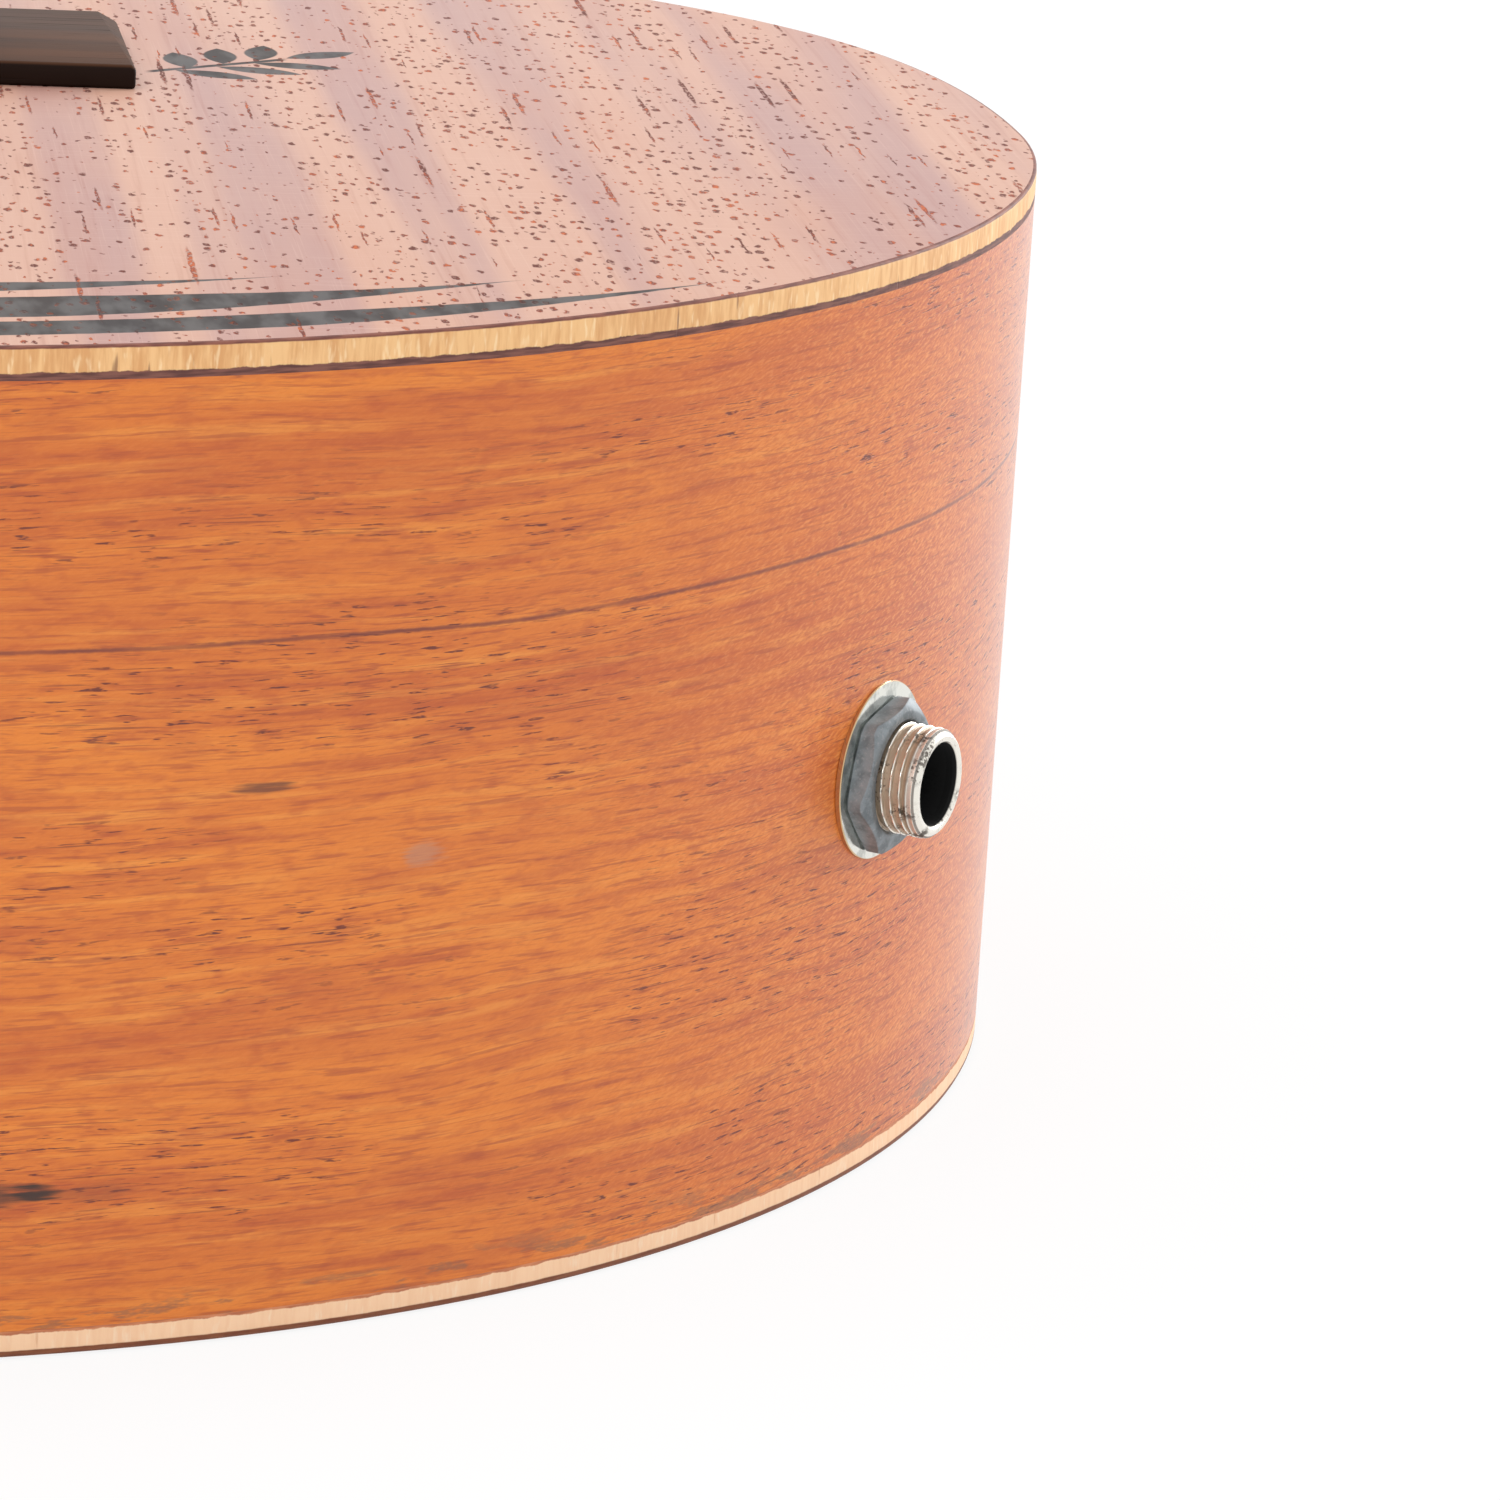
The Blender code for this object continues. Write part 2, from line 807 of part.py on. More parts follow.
def tuner_cylinders(name, radius, reach, head):
    shape = bmesh.new()
    for _, _, place in tuners():
        rod(shape, place - Vector((0, 0, 2 * reach)), place + Vector((0, 0, reach)), radius, 20)
    return solid(name, shape, head)


# Fretboard, frets and nut

def fret_y(number):
    return scale_length * 2 ** (-number / octave)


def board_end():
    return fret_y(fret_count) - board_past_last_fret


def tapered(shape, side_view):
    """Stretch a side view of (y, z) points across the fretboard's tapering width."""
    rings = []
    for hand in (-1, 1):
        rings.append([(hand * board_half_width(y), y, z) for y, z in side_view])
    loft(shape, rings)


def make_fretboard():
    """The tapering board with its frets pressed in, whose round crowns stand on it."""
    side_view = [(nut_y - seat_gap, board_top), (nut_y - seat_gap, board_bottom)]
    side_view += [(board_end(), board_bottom), (board_end(), board_top)]
    for number in range(fret_count, 0, -1):
        for i in range(6):
            angle = math.pi * i / 5
            y = fret_y(number) - fret_width / 2 * math.cos(angle)
            side_view.append((y, board_top + fret_height * math.sin(angle)))
    shape = bmesh.new()
    tapered(shape, side_view)
    wood(solid("fretboard", shape), walnut)


def string_x(number, spread):
    return spread * (number / (len(string_diameters) - 1) - 0.5)


def make_nut():
    """A bone bar with a slot for each string."""
    floor = string_bottom_at_nut - seat_gap
    bottom = body_depth + seat_gap
    outline = [(-nut_half_width, bottom), (nut_half_width, bottom)]
    corner_top = string_bottom_at_nut + nut_above_string
    outline.append((nut_half_width, corner_top - nut_above_string))
    for number in (3, 2, 1, 0):
        x = string_x(number, string_spread_at_nut)
        half_slot = string_diameters[number] / 2 + seat_gap
        outline += [(x + half_slot, corner_top), (x + half_slot, floor)]
        outline += [(x - half_slot, floor), (x - half_slot, corner_top)]
    outline.append((-nut_half_width, corner_top - nut_above_string))
    shape = bmesh.new()
    rings = []
    for y in (nut_y, nut_front_y):
        rings.append([(x, y, z) for x, z in outline])
    loft(shape, rings)
    paint(solid("nut", shape), bone, 0.35)


# Bridge, saddle and pickup

def make_bridge():
    """A bar with low wings, a block with a saddle slot, and a slot for each string behind it."""
    right = [
        (bridge_half_length, 0),
        (bridge_half_length, wing_thickness - wing_chamfer),
        (bridge_half_length - wing_chamfer, wing_thickness),
    ]
    for i in range(6):
        angle = math.pi / 2 * i / 5
        x = bridge_block_half_length + wing_rise * (1 - math.sin(angle))
        z = bridge_height - (bridge_height - wing_thickness) * math.cos(angle)
        right.append((x, z))
    outline = right + [(-x, z) for x, z in right[::-1]]
    rings = []
    for y in (-bridge_behind_saddle, bridge_before_saddle):
        rings.append([(x, y, bridge_bottom + z) for x, z in outline])
    shape = bmesh.new()
    loft(shape, rings)
    bridge = solid("bridge", shape, smooth=35)
    wood(bridge, walnut)
    half_slot = saddle_thickness / 2 + seat_gap
    shape = bmesh.new()
    reach = saddle_half_length + seat_gap
    bar(shape, (-reach, -half_slot, saddle_slot_floor), (reach, half_slot, 2 * bridge_top))
    slots = solid("bridge_slot_cutter", shape)
    cut(bridge, slots)
    shape = bmesh.new()
    slot_floor = bridge_bottom + string_exit_height - max(string_diameters) / 2 - seat_gap
    for number in range(len(string_diameters)):
        x = string_x(number, string_spread_at_saddle)
        low = (x - string_slot_width / 2, -2 * bridge_behind_saddle, slot_floor)
        high = (x + string_slot_width / 2, -half_slot - slot_wall, 2 * bridge_top)
        bar(shape, low, high)
    cut(bridge, solid("string_slot_cutter", shape))
    cut(bridge, lead_cutter())


def make_saddle():
    bottom = saddle_slot_floor + strip_thickness + 2 * seat_gap
    top = string_bottom_at_saddle - seat_gap
    half = saddle_thickness / 2
    side_view = [(-half, bottom), (half, bottom)]
    for i in range(7):
        angle = math.pi * i / 6
        side_view.append((half * math.cos(angle), top - half + half * math.sin(angle)))
    rings = []
    for x in (-saddle_half_length, saddle_half_length):
        rings.append([(x, y, z) for y, z in side_view])
    shape = bmesh.new()
    loft(shape, rings)
    paint(solid("saddle", shape, smooth=40), bone, 0.35)


def lead_cutter():
    shape = bmesh.new()
    low = (lead_place, 0, inside_roof - 2 * patch_thickness)
    rod(shape, low, (lead_place, 0, saddle_slot_floor + seat_gap), lead_diameter / 2 + 2 * seat_gap, 12)
    return solid("lead_cutter", shape)


def make_pickup():
    shape = bmesh.new()
    floor = saddle_slot_floor + seat_gap
    low = (-saddle_half_length, -strip_width / 2, floor)
    bar(shape, low, (saddle_half_length, strip_width / 2, floor + strip_thickness))
    metal(solid("pickup_strip", shape), brass, 0.4)
    place, outward = rim_place(tail_y + jack_from_tail)
    jack_end = jack_shoulder + jack_housing_length + seat_gap
    end = Vector((*(place - outward * jack_end), jack_height))
    inward = Vector((-outward.x, -outward.y, 0))
    start = Vector((lead_place, 0, floor - seat_gap))
    below = start.copy()
    below.z = inside_roof - 2 * patch_thickness
    drop = Vector((0, 0, -0.022))
    bend = interpolate_bezier(below, below + drop, end + inward * 0.02, end + inward * 0.003, 22)
    points = [start] + bend + [end]
    paint(tube("pickup_lead", points, lead_diameter), black, 0.5)


# Jack

def jack_frame():
    place, outward = rim_place(tail_y + jack_from_tail)
    turn = Vector((*outward, 0)).to_track_quat("Z", "Y").to_euler()
    return empty("jack_axis", (*place, jack_height), turn)


def jack_cutter():
    place, outward = rim_place(tail_y + jack_from_tail)
    centre = Vector((*place, jack_height))
    reach = Vector((*outward, 0)) * 6 * side_thickness
    shape = bmesh.new()
    rod(shape, centre - reach, centre + reach, jack_thread_radius + jack_hole_clearance, 24)
    return solid("jack_cutter", shape)


def ring(shape, inner, outer, low, high, segments, edge=0.0):
    """A turned ring with chamfered outer corners."""
    profile = [(inner, low), (outer, low), (outer, high - edge), (outer - edge, high), (inner, high)]
    turned(shape, profile if edge else profile[:2] + [(outer, high), (inner, high)], segments)


def make_jack(frame):
    wall = jack_thread_radius
    bottom = -jack_shoulder - jack_housing_length
    profile = [
        (0, bottom),
        (jack_housing_radius - jack_lip, bottom),
        (jack_housing_radius, bottom + jack_lip),
        (jack_housing_radius, -jack_shoulder),
        (wall, -jack_shoulder),
        (wall, jack_reach - jack_lip),
        (wall - jack_lip, jack_reach),
        (jack_bore_radius + jack_lip * 0.6, jack_reach),
        (jack_bore_radius, jack_reach - jack_lip * 0.6),
        (jack_bore_radius, bottom + 4 * jack_lip),
        (0, bottom + 4 * jack_lip),
    ]
    shape = bmesh.new()
    turned(shape, profile, 24)
    metal(solid("jack_barrel", shape, frame, 40))
    bore = wall + jack_hole_clearance
    shape = bmesh.new()
    washer_top = seat_gap + washer_thickness
    ring(shape, bore, washer_radius, seat_gap, washer_top, 32, washer_thickness * 0.3)
    metal(solid("jack_washer", shape, frame, 40))
    shape = bmesh.new()
    seat = -side_thickness - curved_seat_gap
    ring(shape, bore, washer_radius, -jack_shoulder + seat_gap, seat, 24)
    metal(solid("jack_inner_washer", shape, frame, 40), zinc, 0.45)
    low = washer_top + seat_gap
    high = low + jack_nut_thickness
    corner = jack_nut_flats / math.sqrt(3)
    outline = []
    for i in range(6):
        angle = math.pi / 3 * i
        outline.append((corner * math.cos(angle), corner * math.sin(angle)))
    shape = bmesh.new()
    prism(shape, outline, low, high)
    nut = solid("jack_nut", shape, frame)
    metal(nut, zinc, 0.5)
    flat = jack_nut_flats / 2
    shape = bmesh.new()
    turned(
        shape,
        [
            (bore, low - seat_gap),
            (corner + jack_nut_chamfer, low - seat_gap),
            (corner + jack_nut_chamfer, high - jack_nut_chamfer - (corner - flat) * 0.6),
            (flat, high),
            (flat - seat_gap, high + seat_gap),
            (bore, high + seat_gap),
        ],
        24,
    )
    combine(nut, solid("jack_nut_blank", shape, frame), "INTERSECT")


# Tuning machines

def make_plate(name, place, head):
    """A steel plate with two bent ears that carry the worm's shaft."""
    near = -worm_offset - plate_past_worm
    outline = [
        (-plate_half_width, near + ear_half_width),
        (-plate_half_width * 0.5, near),
        (plate_half_width * 0.5, near),
        (plate_half_width, near + ear_half_width),
        (plate_half_width, plate_past_post - ear_half_width),
        (plate_half_width * 0.5, plate_past_post),
        (-plate_half_width * 0.5, plate_past_post),
        (-plate_half_width, plate_past_post - ear_half_width),
    ]
    shape = bmesh.new()
    prism(shape, outline, plate_bottom, plate_top)
    base = solid(name, shape, head)
    base.location = place
    metal(base, roughness=0.3)
    shape = bmesh.new()
    for hand in (-1, 1):
        rings = []
        for x in (hand * ear_inner, hand * plate_half_width):
            rings.append([(x, y, z) for y, z in ear_outline()])
        loft(shape, rings)
    ears = solid(name + "_ears", shape, head)
    ears.location = place
    combine(base, ears, "UNION")
    shape = bmesh.new()
    reach = 2 * plate_half_width
    hole = worm_shaft_radius + running_gap
    axle = (0, -worm_offset, worm_level)
    rod(shape, (-reach, *axle[1:]), (reach, *axle[1:]), hole, 12)
    rod(shape, (0, 0, 2 * plate_bottom), (0, 0, 0), journal_radius + running_gap, 16)
    for y in screw_places():
        rod(shape, (0, y, 2 * plate_bottom), (0, y, 0), screw_hole_radius, 10)
    holes = solid(name + "_holes", shape, head)
    holes.location = place
    cut(base, holes)


def ear_outline():
    """An ear's side view, round about the worm's shaft, with its root inside the plate."""
    root = (plate_top + plate_bottom) / 2
    points = [(-worm_offset - ear_half_width, root), (-worm_offset + ear_half_width, root)]
    for i in range(7):
        angle = math.pi * i / 6
        y = -worm_offset + ear_half_width * math.cos(angle)
        points.append((y, worm_level - ear_half_width * math.sin(angle)))
    return points


def screw_places():
    near = -worm_offset - plate_past_worm + plate_screw_from_end
    return near, plate_past_post - plate_screw_from_end


def make_bushing(name, place, head):
    low = overlay_top - bushing_sleeve
    seat = overlay_top + seat_gap
    flange = bushing_radius + bushing_flange_width
    profile = [
        (bushing_bore, low),
        (bushing_radius, low),
        (bushing_radius, seat),
        (flange, seat),
        (flange - bushing_flange * 0.4, bushing_top),
        (bushing_bore, bushing_top),
    ]
    shape = bmesh.new()
    turned(shape, profile, 16)
    bushing = solid(name, shape, head, 40)
    bushing.location = place
    metal(bushing)


def make_post(name, place, head, turn):
    """The string post: a waisted top, a shoulder on the plate and a seat for the gear."""
    top = overlay_top + post_above_overlay
    hole = overlay_top + post_hole_above_overlay
    waist = post_radius - post_waist
    shoulder = plate_top + running_gap
    hole_end = gear_bottom + gear_screw_depth
    profile = [
        (0, hole_end),
        (screw_hole_radius, hole_end),
        (screw_hole_radius, gear_bottom + seat_gap),
        (gear_seat_radius, gear_bottom + seat_gap),
        (gear_seat_radius, boss_top + seat_gap),
        (journal_radius, boss_top + seat_gap),
        (journal_radius, shoulder),
        (post_radius, shoulder),
        (post_radius, bushing_top + running_gap),
        (waist, bushing_top + 2 * post_waist),
        (waist, hole + 2 * post_hole_radius),
        (post_radius, hole + 2.5 * post_hole_radius),
        (post_radius, top - post_waist),
        (post_radius * 0.75, top),
        (0, top),
    ]
    shape = bmesh.new()
    turned(shape, profile, 14)
    post = solid(name, shape, head, 40)
    post.location = place
    post.rotation_euler = (0, 0, turn)
    metal(post)
    shape = bmesh.new()
    rod(shape, (-2 * post_radius, 0, hole), (2 * post_radius, 0, hole), post_hole_radius, 10)
    drill = solid(name + "_hole", shape, head)
    drill.location = place
    drill.rotation_euler = (0, 0, turn)
    cut(post, drill)


def make_gear(name, place, head, hand):
    """The wheel's helical teeth follow the worm's thread, one tooth centred on it at rest."""
    twist = worm_lead / (2 * math.pi * worm_pitch_radius) / gear_pitch_radius
    rings = []
    for level in (gear_bottom, gear_top):
        turn = hand * twist * (level - worm_level)
        row = []
        for tooth in range(gear_teeth):
            middle = 2 * math.pi * tooth / gear_teeth - math.pi / 2 + turn
            for way, radius in ((-1, -tooth_root), (-1, tooth_height), (1, tooth_height), (1, -tooth_root)):
                half = tooth_thickness / 2 - radius * tooth_slope
                distance = gear_pitch_radius + radius
                angle = middle + way * half / distance
                row.append((distance * math.cos(angle), distance * math.sin(angle), level))
        rings.append(row)
    shape = bmesh.new()
    loft(shape, rings)
    gear = solid(name, shape, head, 30)
    gear.location = place
    metal(gear, brass, 0.3)
    shape = bmesh.new()
    rod(shape, (0, 0, worm_level), (0, 0, boss_top), gear_boss_radius, 16)
    boss = solid(name + "_boss", shape, head)
    boss.location = place
    combine(gear, boss, "UNION")
    shape = bmesh.new()
    rod(shape, (0, 0, 2 * gear_bottom), (0, 0, 0), gear_seat_radius + seat_gap, 16)
    bore = solid(name + "_bore", shape, head)
    bore.location = place
    cut(gear, bore)


def worm_thread(hand):
    """One thread wound on the worm's shaft, with a space facing the wheel at rest."""
    rings = []
    count = int(worm_turns * worm_steps)
    wheel_side = math.pi / 2
    start = -worm_turns / 2
    root = worm_shaft_radius - thread_bite
    for i in range(count + 1):
        turns = start + worm_turns * i / count
        angle = wheel_side + hand * 2 * math.pi * (turns - 0.5)
        middle = worm_lead * turns
        ramp = min(1.0, 0.3 + 0.7 * min(i, count - i) / 4)
        tip = worm_shaft_radius + (worm_tip_radius - worm_shaft_radius) * ramp
        row = []
        for way, radius in ((-1, root), (-1, tip), (1, tip), (1, root)):
            half = tooth_thickness / 2 - (radius - worm_pitch_radius) * tooth_slope
            row.append((radius * math.cos(angle), radius * math.sin(angle), middle + way * half))
        rings.append(row)
    return rings


def make_worm(name, frame, hand, button_start):
    end = button_start + button_socket
    collar = plate_half_width + running_gap
    profile = [
        (0, -collar - collar_thickness),
        (collar_radius, -collar - collar_thickness),
        (collar_radius, -collar),
        (worm_shaft_radius, -collar),
        (worm_shaft_radius, collar),
        (collar_radius, collar),
        (collar_radius, collar + collar_thickness),
        (worm_shaft_radius, collar + collar_thickness),
        (worm_shaft_radius, end - seat_gap),
        (0, end - seat_gap),
    ]
    shape = bmesh.new()
    turned(shape, profile, 12)
    worm = solid(name, shape, frame, 40)
    metal(worm)
    shape = bmesh.new()
    loft(shape, worm_thread(hand))
    combine(worm, solid(name + "_thread", shape, frame), "UNION")


def make_button(name, frame, start):
    """An oval button, widest past its middle, pressed on the worm's shaft."""
    rings = []
    for share, size in button_swell:
        row = []
        for i in range(12):
            angle = 2 * math.pi * i / 12
            x = button_half_thickness * min(1.0, size + 0.1) * math.cos(angle)
            y = button_half_width * size * math.sin(angle)
            row.append((x, y, start + share * button_length))
        rings.append(row)
    shape = bmesh.new()
    loft(shape, rings)
    button = solid(name, shape, frame, 60)
    paint(button, black, 0.25)
    shape = bmesh.new()
    hole = worm_shaft_radius + seat_gap
    rod(shape, (0, 0, start - button_socket), (0, 0, start + button_socket), hole, 10)
    cut(button, solid(name + "_socket", shape, frame))


# Strings

def touch_angle(start, centre, radius, hand):
    """Where a line from a point touches a post, seen from the post's centre."""
    way = start - centre
    return math.atan2(way.y, way.x) - hand * math.acos(radius / way.length)


def hole_angle(number):
    """The direction of a post's string hole, where its winding ends."""
    _, hand, place = tuners()[number]
    start = Vector((string_x(number, string_spread_at_nut), 0))
    radius = winding_radius(number)
    return touch_angle(start, place.to_2d(), radius, hand) - hand * 2 * math.pi * winding_turns


def winding_radius(number):
    return post_radius + running_gap + string_diameters[number] / 2


def winding(number):
    """Points in the head's frame: round the post, up to its hole, and through it."""
    _, hand, place = tuners()[number]
    diameter = string_diameters[number]
    radius = winding_radius(number)
    end_angle = hole_angle(number)
    start_angle = end_angle + hand * 2 * math.pi * winding_turns
    hole = overlay_top + post_hole_above_overlay
    rise = diameter + winding_spacing
    lead_in = math.radians(60)
    low = hole - rise * (winding_turns + 1)
    steps = loop_points * winding_turns - 4
    points = []
    for i in range(steps + 1):
        share = i / (loop_points * winding_turns)
        angle = start_angle - hand * 2 * math.pi * winding_turns * share
        level = low + rise * winding_turns * share
        points.append(place + Vector((radius * math.cos(angle), radius * math.sin(angle), level)))
    along = (points[-1] - points[-2]).normalized()
    out = Vector((math.cos(end_angle), math.sin(end_angle), 0))
    mouth = place + out * (post_radius + diameter) + Vector((0, 0, hole))
    reach = radius * lead_in * 0.8
    away = points[-1] + along * reach
    points += interpolate_bezier(points[-1], away, mouth + out * reach * 0.7, mouth, 9)[1:]
    points.append(place - out * (post_radius + string_stub) + Vector((0, 0, hole)))
    return points


def knot(centre, radius, diameter):
    """A round knot's points and swelling, from its far end to the bridge."""
    points = []
    swell = []
    for i in range(6):
        angle = math.pi * (0.08 + 0.84 * i / 5)
        points.append(centre - Vector((0, radius * math.cos(angle), 0)))
        swell.append(max(1.0, 2 * radius * math.sin(angle) / diameter))
    return points, swell


def make_string(name, number, head_matrix):
    diameter = string_diameters[number]
    half = diameter / 2
    bridge_x = string_x(number, string_spread_at_saddle)
    nut_x = string_x(number, string_spread_at_nut)
    exit_z = bridge_bottom + string_exit_height
    saddle_z = string_bottom_at_saddle + half
    nut_z = string_bottom_at_nut + half
    knot_centre = Vector((bridge_x, -bridge_behind_saddle - seat_gap - knot_radius, exit_z))
    points, swell = knot(knot_centre, knot_radius, diameter)
    slack = saddle_thickness / 2
    points += [
        Vector((bridge_x, -bridge_behind_saddle + slack, exit_z + half)),
        Vector((bridge_x, -slack * 1.2, saddle_z - half)),
        Vector((bridge_x, -slack * 0.4, saddle_z)),
        Vector((bridge_x, slack * 0.5, saddle_z)),
        Vector((nut_x, nut_y, nut_z)),
        Vector((nut_x, nut_front_y - diameter, nut_z)),
        Vector((nut_x, nut_front_y + diameter, nut_z - half * 0.5)),
    ]
    points += [head_matrix @ point for point in winding(number)]
    swell += [1.0] * (len(points) - len(swell))
    item = tube(name, points, diameter, swell)
    paint(item, nylon, 0.2)
    turns = points[-loop_points * winding_turns - 6:]
    print(name, "least gap between turns in mm", round(least_gap(turns, diameter) * 1000, 2))


def least_gap(points, diameter):
    """The least distance between stretches of a tube that aren't neighbours, less its diameter."""
    lengths = walk(points)
    best = math.inf
    for i, first in enumerate(points):
        for j in range(i + 1, len(points)):
            if lengths[j] - lengths[i] > 4 * diameter:
                best = min(best, (points[j] - first).length - diameter)
    return best


def make_tuners(head):
    for number, (name, hand, place) in enumerate(tuners()):
        make_plate("tuner_plate_" + name, place, head)
        make_post("string_post_" + name, place, head, hole_angle(number))
        make_gear("tuner_gear_" + name, place, head, hand)
        axle = place + Vector((0, -worm_offset, worm_level))
        frame = empty("worm_axis_" + name, axle, (0, hand * math.pi / 2, 0))
        frame.parent = head
        button_start = post_from_edge + button_from_edge
        make_worm("worm_shaft_" + name, frame, hand, button_start)
        make_button("tuner_button_" + name, frame, button_start)
        make_bushing("post_bushing_" + name, place, head)


remove_objects()
head_place = Vector((0, nut_front_y, body_depth))
head_frame = empty("head_frame", head_place, (-head_tilt, 0, 0))
dowel_cutter = make_body()
make_neck(head_frame, dowel_cutter)
make_fretboard()
make_nut()
make_bridge()
make_saddle()
make_pickup()
make_jack(jack_frame())
make_tuners(head_frame)
head_to_world = Matrix.Translation(head_place) @ Matrix.Rotation(-head_tilt, 4, "X")
for string_number, (string_name, _, _) in enumerate(tuners()):
    make_string("string_" + string_name, string_number, head_to_world)
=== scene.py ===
import json
import math

import bmesh
import bpy
from mathutils import Matrix, Vector
from mathutils.geometry import interpolate_bezier


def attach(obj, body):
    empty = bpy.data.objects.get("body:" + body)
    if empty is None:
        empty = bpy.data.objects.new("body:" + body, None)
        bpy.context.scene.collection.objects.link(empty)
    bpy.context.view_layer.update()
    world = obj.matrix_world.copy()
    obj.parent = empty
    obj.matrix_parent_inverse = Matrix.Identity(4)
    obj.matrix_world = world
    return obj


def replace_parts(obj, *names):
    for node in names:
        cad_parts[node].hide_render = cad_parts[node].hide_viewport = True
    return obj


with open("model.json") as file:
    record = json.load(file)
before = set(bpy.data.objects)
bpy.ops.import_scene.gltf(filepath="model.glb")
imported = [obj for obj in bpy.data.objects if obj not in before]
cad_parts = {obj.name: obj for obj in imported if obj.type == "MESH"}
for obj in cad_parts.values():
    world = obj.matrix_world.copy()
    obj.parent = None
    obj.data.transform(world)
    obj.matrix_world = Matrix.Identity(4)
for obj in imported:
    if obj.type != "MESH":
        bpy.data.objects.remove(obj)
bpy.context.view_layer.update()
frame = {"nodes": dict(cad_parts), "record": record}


# Shader maths

class Wire:
    # wraps one socket, so that sums on patterns read as plain expressions
    def __init__(self, tree, socket=None):
        self.tree = tree
        self.socket = socket

    def node(self, kind, settings=None, inputs=None, output=0):
        made = self.tree.nodes.new(kind)
        for name, value in (settings or {}).items():
            setattr(made, name, value)
        for name, value in (inputs or {}).items():
            if isinstance(value, Wire):
                self.tree.links.new(value.socket, made.inputs[name])
            else:
                made.inputs[name].default_value = value
        return Wire(self.tree, made.outputs[output])

    def math(self, operation, *values):
        return self.node("ShaderNodeMath", {"operation": operation}, dict(enumerate(values)))

    def __add__(self, other):
        return self.math("ADD", self, other)

    def __radd__(self, other):
        return self.math("ADD", other, self)

    def __sub__(self, other):
        return self.math("SUBTRACT", self, other)

    def __rsub__(self, other):
        return self.math("SUBTRACT", other, self)

    def __mul__(self, other):
        return self.math("MULTIPLY", self, other)

    def __rmul__(self, other):
        return self.math("MULTIPLY", other, self)

    def __truediv__(self, other):
        return self.math("DIVIDE", self, other)

    def __pow__(self, other):
        return self.math("POWER", self, other)

    def __abs__(self):
        return self.math("ABSOLUTE", self)


def tone(red, green, blue):
    # screen colour, 0 to 255, as the linear colour that shaders take
    parts = [value / 255 for value in (red, green, blue)]
    parts = [value / 12.92 if value <= 0.04045 else ((value + 0.055) / 1.055) ** 2.4 for value in parts]
    return (*parts, 1.0)


def objectPlace(tree):
    return Wire(tree).node("ShaderNodeTexCoord", output="Object")


def rimPlace(tree):
    # metres along the rim and up from the back, kept in the uv map
    return Wire(tree).node("ShaderNodeUVMap", {"uv_map": "rim"})


def apart(vector):
    split = vector.node("ShaderNodeSeparateXYZ", inputs={"Vector": vector})
    return split, Wire(split.tree, split.socket.node.outputs[1]), Wire(split.tree, split.socket.node.outputs[2])


def together(x, y, z):
    maker = next(value for value in (x, y, z) if isinstance(value, Wire))
    return maker.node("ShaderNodeCombineXYZ", inputs={"X": x, "Y": y, "Z": z})


def stretch(vector, scale, shift=(0, 0, 0), turn=(0, 0, 0)):
    return vector.node("ShaderNodeMapping", inputs={
        "Vector": vector, "Location": shift, "Rotation": turn, "Scale": scale})


def vectorMath(operation, first, second, output=0):
    return first.node("ShaderNodeVectorMath", {"operation": operation}, {0: first, 1: second}, output)


def cloud(vector, detail=2.0, rough=0.5, twist=0.0, output=0):
    return vector.node("ShaderNodeTexNoise", {"noise_dimensions": "3D"}, {
        "Vector": vector, "Scale": 1.0, "Detail": detail, "Roughness": rough, "Distortion": twist}, output)


def smooth(value, low, high, start=0.0, end=1.0):
    return value.node("ShaderNodeMapRange", {"interpolation_type": "SMOOTHSTEP"}, {
        "Value": value, "From Min": low, "From Max": high, "To Min": start, "To Max": end})


def mixed(factor, first, second):
    return factor.node("ShaderNodeMix", {"data_type": "RGBA"}, {0: factor, 6: first, 7: second}, 2)


def shaken(vector, scale, reach):
    # moves a pattern's points about a little, so that its marks have ragged outlines
    noise = cloud(stretch(vector, scale), output="Color")
    moved = noise.node("ShaderNodeVectorMath", {"operation": "SCALE"}, {0: noise, "Scale": reach})
    return vectorMath("ADD", vector, moved)


def dashes(vector, size, reach, share, seed):
    # one dash in each stretched cell, with a chance length, and some left out; share may be a pattern too
    cells = stretch(vector, (1 / size[0], 1 / size[1], 0), (seed, seed * 1.7, 0))
    near = cells.node("ShaderNodeTexVoronoi", {"voronoi_dimensions": "2D"}, {
        "Vector": cells, "Scale": 1.0, "Randomness": 0.9})
    pick, other, third = apart(Wire(near.tree, near.socket.node.outputs["Color"]))
    edge = reach * (0.34 + 0.90 * other)
    return (1 - smooth(near / edge, 0.6, 1.0)) * pick.math("LESS_THAN", pick, share), third


def relief(height, strength, distance):
    return height.node("ShaderNodeBump", inputs={
        "Height": height, "Strength": strength, "Distance": distance})


def material(name, build, **settings):
    made = bpy.data.materials.new(name)
    made.use_nodes = True
    tree = made.node_tree
    shader = tree.nodes["Principled BSDF"]
    for key, value in settings.items():
        shader.inputs[key].default_value = value
    for key, value in build(tree).items():
        tree.links.new(value.socket, shader.inputs[key])
    return made


# Camera

cameraForm = {
    "place": (0.00242246, -0.5525035, 0.16878263),
    "yaw": 9.521619,
    "pitch": 15.450484,
    "roll": -3.567861,
    "lens": 161.045,
}


